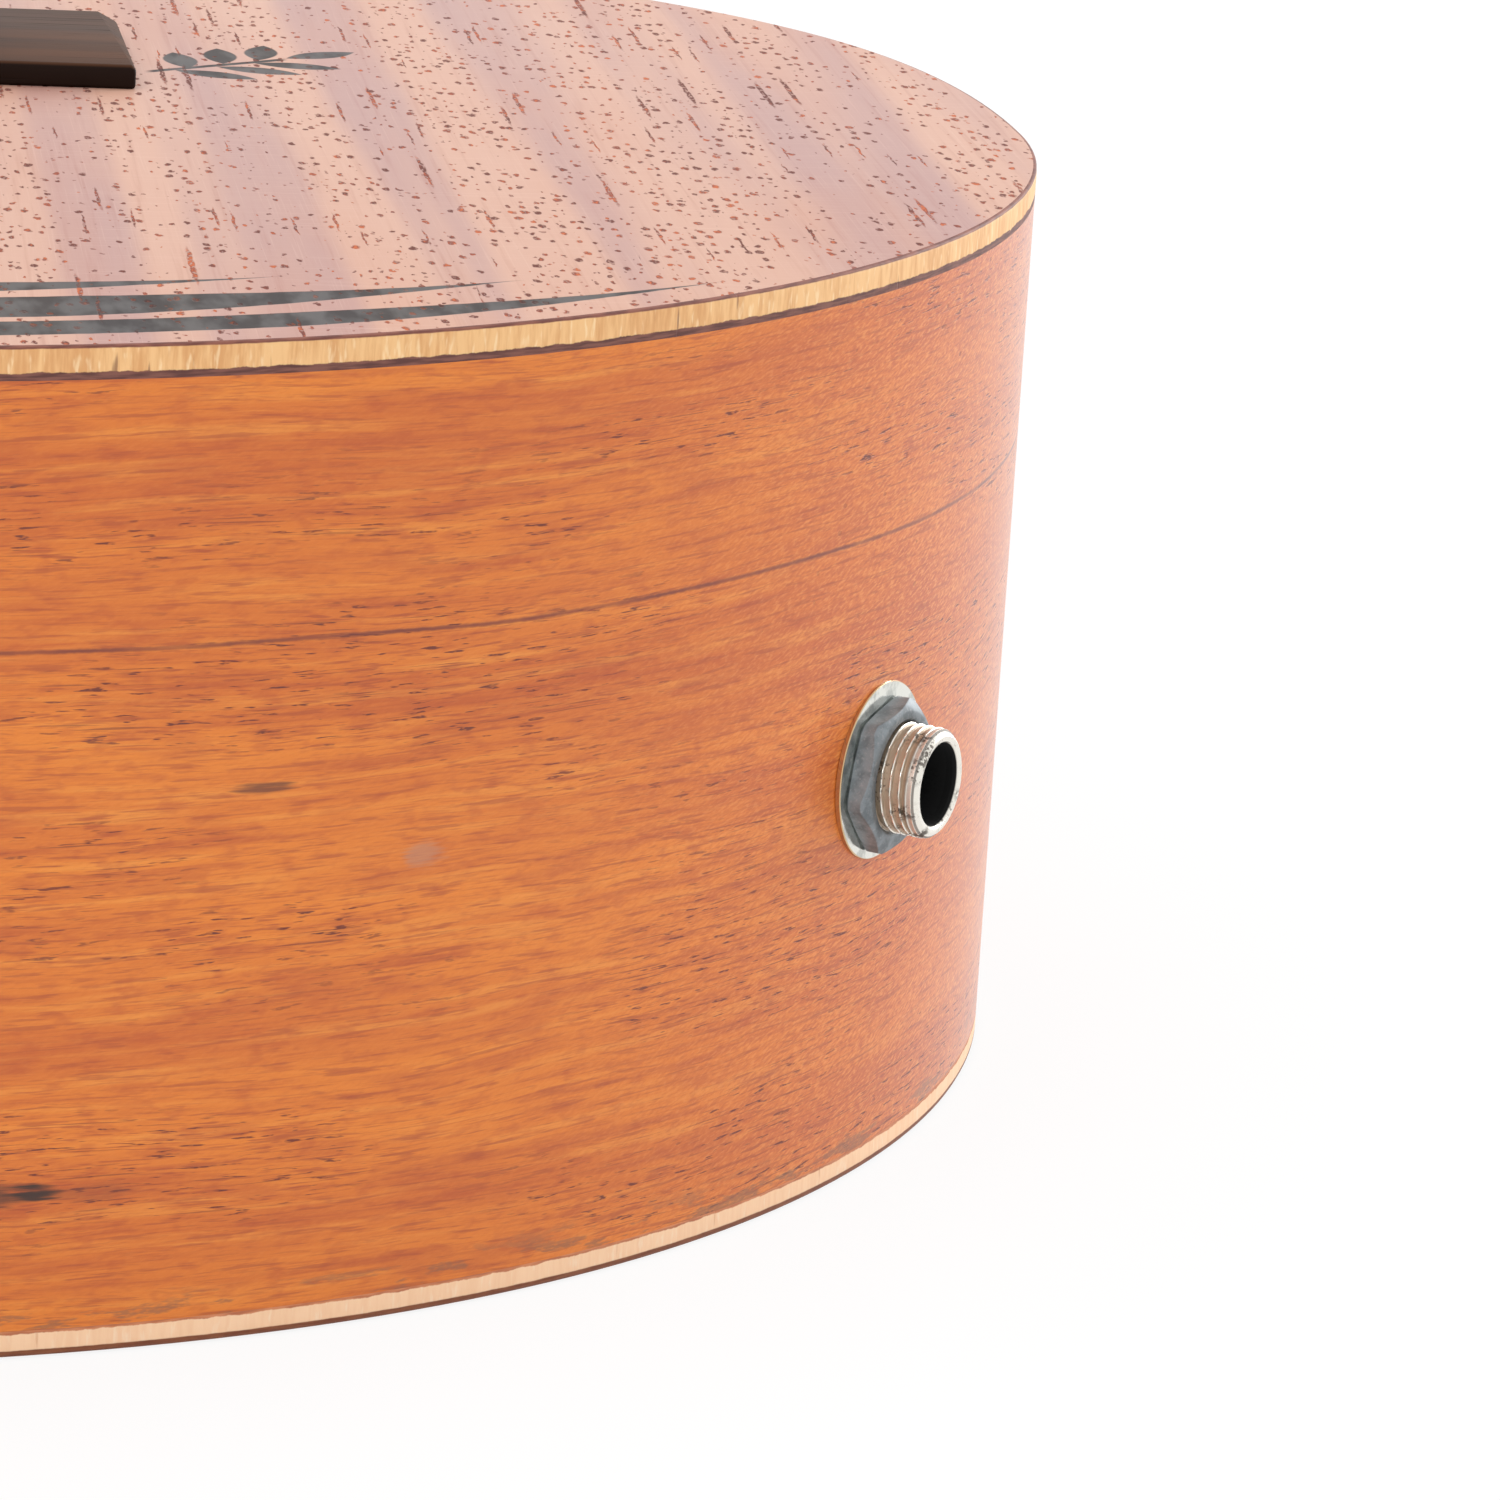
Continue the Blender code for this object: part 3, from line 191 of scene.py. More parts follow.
def makeCamera():
    yaw, pitch, roll = (math.radians(cameraForm[name]) for name in ("yaw", "pitch", "roll"))
    forward = Vector((math.sin(yaw) * math.cos(pitch), math.cos(yaw) * math.cos(pitch), -math.sin(pitch)))
    level = Vector((math.cos(yaw), -math.sin(yaw), 0))
    down = forward.cross(level)
    right = level * math.cos(roll) + down * math.sin(roll)
    under = down * math.cos(roll) - level * math.sin(roll)
    data = bpy.data.cameras.new("camera")
    data.sensor_width = 36
    data.lens = cameraForm["lens"]
    data.clip_start = 0.01
    made = bpy.data.objects.new("camera", data)
    made.matrix_world = Matrix.Translation(cameraForm["place"]) @ Matrix((right, -under, -forward)).transposed().to_4x4()
    bpy.context.scene.collection.objects.link(made)
    bpy.context.scene.camera = made


makeCamera()
print("camera set")


# Body outline, and where the jack sits in it

bodyForm = {
    "tailY": -0.1135,
    "joinY": 0.432 * 2 ** (-14 / 12),
    "lowerHalf": 0.1111,
    "lowerUp": 0.0935,
    "waistHalf": 0.0745,
    "waistUp": 0.179,
    "upperHalf": 0.085,
    "upperBack": 0.044,
    "shoulder": 0.027,
    "depth": 0.0723,
    "topThickness": 0.0024,
    "backThickness": 0.0020,
    "sideThickness": 0.0018,
    "steps": (72, 52, 40, 40),
}


def halfRim():
    form = bodyForm
    upperY = form["joinY"] - form["upperBack"]
    lowerY = form["tailY"] + form["lowerUp"]
    waistY = form["tailY"] + form["waistUp"]
    lowerRise, upperRise = waistY - lowerY, upperY - waistY
    tail = Vector((0, form["tailY"]))
    lower = Vector((form["lowerHalf"], lowerY))
    waist = Vector((form["waistHalf"], waistY))
    upper = Vector((form["upperHalf"], upperY))
    join = Vector((form["shoulder"], form["joinY"]))
    curves = [
        (tail, tail + Vector((0.713 * form["lowerHalf"], 0)), lower - Vector((0, 0.385 * form["lowerUp"])), lower),
        (lower, lower + Vector((0, 0.764 * lowerRise)), waist - Vector((0, 0.305 * lowerRise)), waist),
        (waist, waist + Vector((0, 0.36 * upperRise)), upper - Vector((0, 0.38 * upperRise)), upper),
        (upper, upper + Vector((0, 0.60 * form["upperBack"])),
         join + Vector((0.62 * (form["upperHalf"] - form["shoulder"]), 0)), join),
    ]
    points = []
    for curve, steps in zip(curves, form["steps"]):
        points += interpolate_bezier(*curve, steps)[1 if points else 0:]
    return [point.to_2d() for point in points] + [Vector((0, form["joinY"]))]


def movedIn(half, distance):
    moved = []
    for i, point in enumerate(half):
        before = half[i - 1] if i else half[1] * Vector((-1, 1))
        after = half[i + 1] if i < len(half) - 1 else half[-2] * Vector((-1, 1))
        first, second = (point - before).normalized(), (after - point).normalized()
        along = (first + second).normalized()
        moved.append(point + Vector((-along.y, along.x)) * distance / max(0.5, along.dot(first)))
    return moved


rim = halfRim()
rimLengths = [0.0]
for lowPoint, highPoint in zip(rim, rim[1:]):
    rimLengths.append(rimLengths[-1] + (highPoint - lowPoint).length)
wholeLengths = rimLengths + [2 * rimLengths[-1] - value for value in rimLengths[-2:0:-1]]

jackForm = {
    "y": -0.1135 + 0.0428,
    "z": 0.0324,
    "drop": 0.00025,
    "radius": 0.00427,
    "bore": 0.00322,
    "reach": 0.0052,
    "pitch": 0.00075,
    "threadDepth": 0.00024,
    "lip": 0.00085,
    "housingRadius": 0.00575,
    "shoulder": -0.0052,
    "housingLength": 0.021,
    "washerRadius": 0.0069,
    "washerTop": 0.00022,
    "nutTop": 0.0020,
    "nutFlats": 0.0108,
    "nutCorner": 0.00602,
    "nutTurn": math.radians(17.8),
    "holeRadius": 0.0048,
}


def jackMatrix():
    for low, high in zip(rim, rim[1:]):
        if low.y <= jackForm["y"] <= high.y:
            along = (high - low).normalized()
            point = low.lerp(high, (jackForm["y"] - low.y) / (high.y - low.y))
            outward = Vector((along.y, -along.x, 0))
            break
    turn = outward.to_track_quat("Z", "Y").to_matrix().to_4x4()
    return Matrix.Translation((point.x, point.y, jackForm["z"])) @ turn


jackPlace = jackMatrix()
barrelPlace = Matrix.Translation((0, 0, -jackForm["drop"])) @ jackPlace  # it hangs a little low in the washer


# Wood finishes

soundboardFinish = {
    "pale": tone(206, 160, 139),
    "lilac": tone(181, 140, 133),
    "warm": tone(198, 140, 114),
    "scratch": tone(238, 208, 192),
    "poreDark": tone(94, 36, 24),
    "poreRed": tone(142, 60, 36),
    "poreOrange": tone(190, 94, 46),
    "wander": 0.0060,
    "bandWidth": 0.0068,
    "poreCell": (0.00108, 0.0025),
    "speckCell": (0.00062, 0.00125),
    "streakCell": (0.0015, 0.0400),
}
backFinish = {
    **soundboardFinish,
    "pale": tone(202, 120, 76),
    "lilac": tone(176, 96, 60),
    "warm": tone(188, 100, 58),
    "scratch": tone(214, 142, 98),
    "poreOrange": tone(150, 66, 34),
    "bandWidth": 0.0090,
}


def faceGrain(vector, finish, seed=0.0):
    # ribbon bands and open pores that run along Y, fewer and longer in the darker bands
    x, y, z = apart(vector)
    wander = cloud(stretch(vector, (6, 4, 6), (seed, 0, 0)), detail=1.0)
    bent = together(x + (wander - 0.5) * finish["wander"], y, 0.0)
    bands = cloud(stretch(bent, (1 / finish["bandWidth"], 3.5, 1), (seed, 3, 0)), detail=1.0)
    ribbon = smooth(bands + (cloud(stretch(bent, (260, 26, 1), (8, 2, 0))) - 0.5) * 0.16, 0.37, 0.65)
    shade = mixed(ribbon, finish["pale"], finish["lilac"])
    patch = cloud(stretch(bent, (70, 12, 1), (seed, 9, 0)), detail=2.0)
    shade = mixed(smooth(patch, 0.42, 0.75) * 0.45, shade, finish["warm"])
    fine = cloud(stretch(bent, (1300, 30, 1), (seed, 5, 0)), detail=3.0, rough=0.6)
    shade = mixed(smooth(fine, 0.52, 0.76) * 0.22, shade, finish["poreRed"])
    crossed = smooth(cloud(stretch(vector, (70, 6500, 1))), 0.57, 0.74)
    lined = smooth(cloud(stretch(bent, (6800, 60, 1))), 0.57, 0.74)
    shade = mixed(crossed * 0.20 + lined * 0.12, shade, finish["scratch"])
    ragged = shaken(bent, (1900, 800, 1), 0.00075)
    thick = smooth(cloud(stretch(vector, (150, 90, 1), (2, 6, 0)), detail=1.0), 0.30, 0.56)
    short, shortPick = dashes(ragged, finish["poreCell"], 0.28, (0.20 + 0.68 * thick) * (1 - 0.62 * ribbon), seed + 0.3)
    frayed = shaken(bent, (1500, 500, 1), 0.00045)
    long, longPick = dashes(frayed, finish["streakCell"], 0.150, 0.30 + 0.42 * ribbon, seed + 4.1)
    crumb = cloud(stretch(vector, (3600, 1300, 1)), detail=1.0)
    short = short * (0.55 + 0.45 * smooth(crumb, 0.34, 0.5))
    long = long * (0.35 + 0.65 * smooth(crumb, 0.38, 0.50))
    speck, _ = dashes(ragged, finish["speckCell"], 0.24, 0.02 + 0.14 * thick, seed + 7.7)
    pores = short.math("MAXIMUM", short, long)
    pores = pores.math("MAXIMUM", pores, speck * 0.6)
    pick = shortPick * 0.6 + longPick * 0.4
    filling = mixed(smooth(pick + (crumb - 0.5) * 1.6, 0.38, 0.66), finish["poreDark"], finish["poreRed"])
    filling = mixed(smooth(pick + (crumb - 0.5) * 2.2, 0.70, 0.95), filling, finish["poreOrange"])
    return mixed(pores * 0.94, shade, filling), pores, fine


etching = {
    # leaves: across, along and angle
    "leaves": [(0.0437, 0.0016, 96), (0.0472, 0.0042, 90), (0.0508, 0.0064, 82), (0.0462, -0.0048, -26),
               (0.0500, -0.0022, -20), (0.0534, 0.0006, -12), (0.0558, 0.0062, 34)],
    "leafLength": 0.0076,
    "leafWidth": 0.0030,
    "stemWidth": 0.0010,
    "stemEnds": (0.0402, 0.0530),
    "stemFoot": -0.0046,
    "stemSlope": 0.66,
    "bandCentreY": 0.0231,
    "bandRadii": (0.1179, 0.1246, 0.1313),
    "bandWidths": (0.0042, 0.0064, 0.0042),
    "bandReach": (0.052, 0.068, 0.084),
    "bandTaper": 0.042,
    "rings": [(0.0372, 0.0009), (0.0402, 0.0026), (0.0432, 0.0009)],
    "holeY": 0.094,
    "light": tone(80, 80, 80),
    "dark": tone(26, 26, 28),
}


def leafMask(x, y, centre, turn):
    # a pointed leaf, 1 inside
    cosine, sine = math.cos(turn), math.sin(turn)
    along = ((x - centre[0]) * cosine + (y - centre[1]) * sine) / (etching["leafLength"] / 2)
    across = abs((y - centre[1]) * cosine - (x - centre[0]) * sine) / (etching["leafWidth"] / 2)
    return 1 - smooth(across + along * along, 0.86, 1.0)


def inkMask(vector):
    # burnt bands by the tail, a plain sprig at each end of the bridge, and rings round the soundhole
    x, y, _ = apart(vector)
    side = abs(x)
    wobble = (cloud(stretch(vector, (420, 420, 0))) - 0.5) * 0.0003
    masks = []
    rise = y - etching["bandCentreY"]
    reach = (x * x + rise * rise) ** 0.5 + wobble
    tailSide = y.math("LESS_THAN", y, -0.030)
    for radius, width, end in zip(etching["bandRadii"], etching["bandWidths"], etching["bandReach"]):
        half = smooth(side, end - etching["bandTaper"], end, width / 2, -0.0002)
        masks.append((1 - smooth(abs(reach - radius) - half, -0.00010, 0.00010)) * tailSide)
    for across, along, angle in etching["leaves"]:
        masks.append(leafMask(side, y, (across, along), math.radians(angle)))
    low, high = etching["stemEnds"]
    bow = y - etching["stemFoot"] - etching["stemSlope"] * (side - low) + wobble
    onStem = smooth(side, low, low + 0.001) * smooth(side, high - 0.001, high, 1.0, 0.0)
    masks.append((1 - smooth(abs(bow), etching["stemWidth"] * 0.4, etching["stemWidth"] * 0.6)) * onStem)
    rise = y - etching["holeY"]
    fromHole = (x * x + rise * rise) ** 0.5
    for radius, width in etching["rings"]:
        masks.append(1 - smooth(abs(fromHole - radius), width / 2 - 0.0001, width / 2 + 0.0001))
    whole = masks[0]
    for mask in masks[1:]:
        whole = whole.math("MAXIMUM", whole, mask)
    return whole


def soundboardLook(tree):
    vector = objectPlace(tree)
    shade, pores, fine = faceGrain(vector, soundboardFinish)
    ink = inkMask(vector)
    blotch = cloud(stretch(vector, (420, 150, 1)), detail=3.0)
    burnt = mixed(smooth(blotch, 0.36, 0.64), etching["dark"], etching["light"])
    shade = mixed(ink * (0.96 - 0.30 * pores), shade, burnt)
    height = 1 - pores * 0.9 - ink * 0.5 + fine * 0.10
    return {"Base Color": shade, "Normal": relief(height, 0.5, 0.0002),
            "Roughness": 0.42 + ink * 0.24 + fine * 0.08 + pores * 0.40}


def backLook(tree):
    shade, pores, fine = faceGrain(objectPlace(tree), backFinish, 21.0)
    return {"Base Color": shade, "Normal": relief(1 - pores * 0.9 + fine * 0.1, 0.4, 0.0002),
            "Roughness": 0.40 + fine * 0.08 + pores * 0.35}


topEdgeFinish = {
    "face": bodyForm["depth"],
    "up": True,
    "outer": 0.00022,
    "inner": 0.00186,
    "tickShare": 0.75,
    "veneer": tone(104, 54, 44),
    "veneerLight": tone(138, 82, 66),
    "core": tone(238, 190, 132),
    "coreDeep": tone(208, 146, 88),
    "coreLight": tone(250, 222, 176),
    "nick": tone(128, 84, 54),
    "line": tone(88, 46, 40),
    "lineLight": tone(124, 76, 64),
}
backEdgeFinish = {
    **topEdgeFinish,
    "face": 0.0,
    "up": False,
    "outer": 0.00056,
    "inner": 0.00178,
    "tickShare": 0.38,
    "veneer": tone(116, 58, 26),
    "veneerLight": tone(134, 76, 42),
    "core": tone(250, 212, 174),
    "coreDeep": tone(236, 186, 142),
    "coreLight": tone(252, 228, 200),
    "nick": tone(196, 128, 84),
    "line": tone(178, 106, 70),
    "lineLight": tone(206, 134, 92),
}


def plyEdge(tree, finish):
    # face veneer, cross-grained core and inner veneer, by depth from the outer face
    vector = rimPlace(tree)
    along, height, _ = apart(vector)
    ragged = (cloud(stretch(vector, (420, 0, 0)), detail=4.0, rough=0.65) - 0.5) * 0.0006
    depth = (finish["face"] - height) if finish["up"] else (height - finish["face"])
    ticks = cloud(stretch(vector, (2300, 260, 1)), detail=3.0, rough=0.6)
    slow = cloud(stretch(vector, (330, 60, 1), (7, 0, 0)))
    shade = mixed(smooth(ticks * 0.6 + slow * 0.5, 0.44, 0.70) * finish["tickShare"], finish["core"], finish["coreDeep"])
    bright = smooth(cloud(stretch(vector, (2300, 500, 1), (1, 4, 0))), 0.56, 0.72)
    shade = mixed(bright * 0.55, shade, finish["coreLight"])
    nicks = smooth(cloud(stretch(vector, (1300, 150, 1), (3, 1, 0)), detail=1.0), 0.71, 0.78)
    shade = mixed(nicks * finish["tickShare"], shade, finish["nick"])
    streak = smooth(cloud(stretch(vector, (420, 4200, 1))), 0.35, 0.65)
    outer = 1 - smooth(depth + ragged * 0.25, finish["outer"] - 0.00005, finish["outer"] + 0.00005)
    inner = smooth(depth + ragged, finish["inner"] - 0.00005, finish["inner"] + 0.00005)
    shade = mixed(outer, shade, mixed(streak, finish["veneer"], finish["veneerLight"]))
    shade = mixed(inner, shade, mixed(streak, finish["line"], finish["lineLight"]))
    return {"Base Color": shade, "Normal": relief(ticks * 0.6 - nicks, 0.35, 0.0001), "Roughness": 0.5 + ticks * 0.15}


sideFinish = {
    "gold": tone(225, 127, 34),
    "amber": tone(204, 103, 28),
    "red": tone(176, 73, 26),
    "pale": tone(238, 154, 60),
    # this rose is painted sheen for the right-hand end of the side
    "sheenRose": tone(202, 102, 48),
    # this light tone is partly the fibre figure and partly painted glint, towards the right
    "light": tone(241, 164, 88),
    "streak": tone(164, 70, 30),
    "dash": tone(104, 36, 20),
    "dashViolet": tone(98, 40, 32),
    "vein": tone(118, 50, 36),
    "scuff": tone(128, 86, 62),
    "veinHeight": 0.0510,
    "dotCell": (0.0031, 0.0021),
    # along the rim, height, half length, half width, strength and colour of each mark
    "marks": [
        (0.0258, 0.0121, 0.0042, 0.0010, 0.84, tone(96, 50, 26)),
        (0.0322, 0.0119, 0.0040, 0.0007, 0.42, tone(140, 66, 34)),
        (0.0283, 0.0122, 0.0023, 0.0008, 0.90, tone(38, 18, 10)),
        (0.0440, 0.0405, 0.0026, 0.0005, 0.80, tone(92, 44, 30)),
        (0.0570, 0.0345, 0.0020, 0.0011, 0.60, tone(176, 124, 100)),
    ],
}


def sideLook(tree):
    vector = rimPlace(tree)
    along, height, _ = apart(vector)
    finish = sideFinish
    waver = (cloud(stretch(vector, (20, 45, 1))) - 0.5) * 0.0032
    flow = together(along, height + waver, 0.0)
    toRight = smooth(along, 0.060, 0.130)
    broad = cloud(stretch(flow, (9, 125, 1)), detail=3.0)
    middle = cloud(stretch(flow, (40, 780, 1), (2, 5, 0)), detail=3.0, rough=0.6)
    fine = cloud(stretch(flow, (200, 4200, 1), (5, 2, 0)), rough=0.6)
    mottle = cloud(stretch(flow, (420, 1000, 1), (9, 4, 0)))
    shade = mixed(smooth(broad, 0.36, 0.66), finish["gold"], finish["amber"])
    shade = mixed(smooth(middle, 0.50, 0.72) * 0.55, shade, finish["pale"])
    shade = mixed(smooth(middle, 0.28, 0.48, 1.0, 0.0) * 0.60, shade, finish["red"])
    shade = mixed(smooth(fine, 0.50, 0.74) * 0.40, shade, finish["red"])
    shade = mixed(smooth(mottle, 0.50, 0.70) * 0.35, shade, finish["red"])
    clouds = smooth(cloud(stretch(flow, (95, 420, 1), (1, 8, 0)), detail=3.0), 0.52, 0.68)
    shade = mixed(clouds * 0.34, shade, finish["red"])
    # painted sheen: the right-hand end of the side turns rose, for the pale glare that lies along the grazing curve
    shade = mixed(toRight * 0.55, shade, finish["sheenRose"])
    leaned = stretch(flow, (1, 1, 1), (0, 0, 0), (0, 0, -0.30))
    fibre = cloud(stretch(leaned, (1300, 4600, 1), (4, 4, 0)), detail=3.0, rough=0.6)
    # light fibre flecks, stronger to the right: partly real figure, partly painted glint
    shade = mixed(smooth(fibre, 0.50, 0.64) * (0.05 + 0.45 * toRight), shade, finish["light"])
    shade = mixed(smooth(fibre, 0.36, 0.49, 1.0, 0.0) * (0.08 + 0.56 * toRight), shade, finish["red"])
    bits = smooth(cloud(stretch(flow, (330, 3000, 1), (3, 7, 0)), rough=0.55), 0.605, 0.665)
    zones = smooth(cloud(stretch(flow, (26, 115, 1), (6, 1, 0))), 0.43, 0.60)
    crumb = smooth(cloud(stretch(vector, (1700, 5200, 1)), detail=1.0), 0.30, 0.52)
    hair = smooth(cloud(stretch(flow, (110, 5200, 1), (8, 3, 0))), 0.62, 0.70)
    marks = bits * zones * (0.35 + 0.65 * crumb) * 0.95
    marks = marks.math("MAXIMUM", marks, hair * zones * 0.55)
    dots, dotPick = dashes(shaken(vector, (1400, 1400, 1), 0.00022), finish["dotCell"], 0.085, 0.32, 6.4)
    dots = dots * toRight * smooth(height, 0.038, 0.050) * 0.45
    marks = marks.math("MAXIMUM", marks, dots)
    streaks = smooth(cloud(stretch(flow, (165, 2300, 1), (2, 9, 0)), detail=3.0, rough=0.55), 0.55, 0.66)
    shade = mixed(streaks * 0.52, shade, finish["streak"])
    threads = smooth(cloud(stretch(flow, (300, 3900, 1), (7, 7, 0)), detail=2.0), 0.57, 0.68)
    shade = mixed(threads * (0.25 + 0.40 * zones), shade, finish["streak"])
    tint = mixed(smooth(cloud(stretch(vector, (160, 320, 1), (5, 5, 0))), 0.45, 0.6), finish["dash"], finish["dashViolet"])
    shade = mixed(marks, shade, tint)
    bend = (cloud(stretch(vector, (26, 0, 0), (4, 0, 0))) - 0.5) * 0.0014
    off = abs(height - finish["veinHeight"] + bend) + (cloud(stretch(vector, (1400, 2600, 1))) - 0.5) * 0.00016
    faint = smooth(cloud(stretch(vector, (120, 0, 0), (2, 0, 0)), detail=3.0), 0.30, 0.62, 0.50, 0.92)
    vein = (1 - smooth(off, 0.00004, 0.00024)) * faint
    shade = mixed(vein, shade, finish["vein"])
    for markAlong, markHeight, length, width, strength, colour in finish["marks"]:
        spread = ((along - markAlong) / length) ** 2 + ((height - markHeight) / width) ** 2
        ragged = spread + (fine - 0.5) * 2.0 + (mottle - 0.5) * 1.4
        shade = mixed((1 - smooth(ragged, 0.1, 1.1)) * strength, shade, colour)
    specks = smooth(cloud(stretch(vector, (120, 620, 1), (1, 9, 0)), detail=4.0, rough=0.62), 0.52, 0.58)
    low = smooth(height + (mottle - 0.5) * 0.002, 0.0026, 0.0050, 0.62, 0.0)
    shade = mixed(specks * low * (0.5 + 0.5 * crumb), shade, finish["scuff"])
    bumps = fine * 0.35 - marks * 0.8 - vein * 0.5 + fibre * 0.35
    return {"Base Color": shade, "Normal": relief(bumps, 0.30, 0.00012),
            "Roughness": 0.36 + fine * 0.10 + marks * 0.12 + fibre * 0.06,
            "Coat Weight": 0.22 + 0.55 * smooth(along, 0.100, 0.150)}


def solidWood(base, deep, pore, roughness=0.5, turn=(0, 0, 0), pores=0.5):
    # timber with its grain along Y, for the pieces out of the photograph
    def build(tree):
        vector = stretch(objectPlace(tree), (1, 1, 1), (0, 0, 0), turn)
        wander = cloud(stretch(vector, (25, 6, 25)), detail=1.0)
        broad = cloud(stretch(vector, (170, 9, 170)), twist=0.4)
        fine = cloud(stretch(vector, (1300, 36, 1300)), detail=3.0, rough=0.6)
        shade = mixed(smooth(broad + (wander - 0.5) * 0.3, 0.35, 0.68), base, deep)
        shade = mixed(smooth(fine, 0.50, 0.74) * 0.45, shade, pore)
        flecks = smooth(cloud(stretch(vector, (2300, 190, 2300), (3, 3, 3))), 0.62, 0.69)
        shade = mixed(flecks * pores, shade, pore)
        return {"Base Color": shade, "Normal": relief(1 - flecks * 0.8 - fine * 0.3, 0.3, 0.00012),
                "Roughness": roughness + flecks * 0.12 + fine * 0.06}
    return build


bridgeFinish = {
    "base": tone(84, 50, 28),
    "deep": tone(64, 38, 22),
    "grey": tone(97, 66, 43),
    "pore": tone(34, 20, 14),
    # the walls' near-black is painted shade, mixed in by how far a face turns from up
    "sides": tone(20, 10, 7),
}


def bridgeLook(tree):
    vector = objectPlace(tree)
    finish = bridgeFinish
    broad = cloud(stretch(vector, (14, 200, 200)), detail=3.0)
    fine = cloud(stretch(vector, (70, 2600, 2600)), detail=3.0, rough=0.6)
    pits = smooth(fine, 0.58, 0.72)
    shade = mixed(smooth(broad, 0.35, 0.66), finish["base"], finish["deep"])
    shade = mixed(smooth(fine, 0.24, 0.44, 1.0, 0.0) * 0.35, shade, finish["grey"])
    shade = mixed(pits * 0.6, shade, finish["pore"])
    _, _, up = apart(Wire(tree).node("ShaderNodeTexCoord", output="Normal"))
    shade = mixed(smooth(up, 0.15, 0.7, 0.92, 0.0), shade, finish["sides"])  # painted shade: every face that does not point up is darkened towards near black, for the shade on the bridge's walls
    return {"Base Color": shade, "Normal": relief(1 - pits, 0.22, 0.0001), "Roughness": 0.52 + pits * 0.15}


# Metals, bone and plastic

def platedMetal(bright, dull, roughness, spots=0.35):
    def build(tree):
        vector = objectPlace(tree)
        stain = cloud(stretch(vector, (700, 700, 700)), detail=3.0, rough=0.6)
        grain = cloud(stretch(vector, (5200, 5200, 5200)), detail=1.0)
        worn = smooth(stain, 0.5, 0.72)
        return {"Base Color": mixed(worn * spots, bright, dull), "Roughness": roughness + worn * 0.16 + grain * 0.05,
                "Normal": relief(grain * 0.4 + stain, 0.12, 0.00005)}
    return build


jackFinish = {
    "bright": tone(238, 234, 224),
    "flank": tone(178, 158, 136),
    "pit": tone(62, 50, 40),
    "dark": tone(2, 2, 2),
    "plate": tone(228, 228, 220),
    "stain": tone(188, 190, 184),
    "edge": tone(206, 178, 138),
}


def aboutAxis(vector, place):
    # distance out along an axis, and away from it
    axis = place.to_3x3() @ Vector((0, 0, 1))
    fromCentre = vectorMath("SUBTRACT", vector, place.translation)
    out = vectorMath("DOT_PRODUCT", fromCentre, axis, "Value")
    onAxis = out.node("ShaderNodeVectorMath", {"operation": "SCALE"}, {0: axis, "Scale": out})
    across = vectorMath("SUBTRACT", fromCentre, onAxis)
    return out, across.node("ShaderNodeVectorMath", {"operation": "LENGTH"}, {0: across}, "Value")


def washerLook(tree):
    # a dull stained face and a warm tan edge
    finish, form = jackFinish, jackForm
    vector = objectPlace(tree)
    out, radius = aboutAxis(vector, jackPlace)
    stain = cloud(stretch(vector, (650, 650, 650)), detail=3.0, rough=0.6)
    grain = cloud(stretch(vector, (4600, 4600, 4600)))
    shade = mixed(smooth(stain, 0.42, 0.66), finish["plate"], finish["stain"])
    edge = smooth(radius, form["washerRadius"] - 0.00012, form["washerRadius"] - 0.00004)
    shade = mixed(edge, shade, finish["edge"])
    return {"Base Color": shade, "Roughness": 0.08 + stain * 0.12, "Normal": relief(grain * 0.5 + stain, 0.10, 0.00005)}


def jackLook(tree):
    # bright crests and lip, tan flanks, worn pits, and a black socket inside
    finish, form = jackFinish, jackForm
    vector = objectPlace(tree)
    out, radius = aboutAxis(vector, barrelPlace)
    stain = cloud(stretch(vector, (900, 900, 900)), detail=3.0, rough=0.6)
    grain = cloud(stretch(vector, (4200, 4200, 4200)))
    crest = smooth(radius, form["radius"] - 0.00013, form["radius"] - 0.00003)
    lip = smooth(out, form["reach"] - form["lip"], form["reach"] - form["lip"] + 0.00006)
    bright = crest.math("MAXIMUM", crest, lip)
    groove = smooth(abs(out - form["reach"] + 0.00035), 0.00004, 0.00011, 1.0, 0.0)
    neck = smooth(abs(out - form["reach"] + form["lip"] - 0.00008), 0.00016, 0.00034, 1.0, 0.0)
    cut = groove * smooth(radius, form["bore"] + 0.0004, form["bore"] + 0.0006)
    cut = cut.math("MAXIMUM", cut, neck * (1 - crest * 0.6) * 0.75)
    shade = mixed(bright, finish["flank"], finish["bright"])
    shade = mixed(cut * 0.75, shade, finish["pit"])
    zone = smooth(cloud(stretch(vector, (420, 420, 420), (3, 1, 2))), 0.42, 0.60)
    pits = smooth(stain * 0.55 + grain * 0.45, 0.50, 0.56) * zone
    shade = mixed(pits * 0.85, shade, finish["pit"])
    socket = smooth(radius, form["bore"] + 0.00004, form["bore"] + 0.00010, 1.0, 0.0)
    socket = socket * smooth(out, form["reach"] - 0.00024, form["reach"] - 0.00012, 1.0, 0.0)
    shade = mixed(socket, shade, finish["dark"])
    return {"Base Color": shade, "Metallic": (1 - socket) * (1 - cut * 0.9) * (0.35 + 0.65 * bright),
            "Roughness": 0.40 - bright * 0.18 + pits * 0.3 + socket * 0.5 + cut * 0.3 + grain * 0.06,
            "Normal": relief(grain * 0.3 - pits * 0.6, 0.2, 0.00006)}


def zincLook(tree):
    vector = objectPlace(tree)
    stain = cloud(stretch(vector, (620, 620, 620)), detail=4.0, rough=0.6)
    grain = cloud(stretch(vector, (5200, 5200, 5200)))
    shade = mixed(smooth(stain, 0.40, 0.64), tone(134, 141, 145), tone(106, 113, 117))
    shade = mixed(smooth(grain, 0.56, 0.7) * 0.30, shade, tone(176, 170, 170))
    return {"Base Color": shade, "Roughness": 0.44 + stain * 0.14, "Normal": relief(grain * 0.5 + stain, 0.2, 0.00006)}


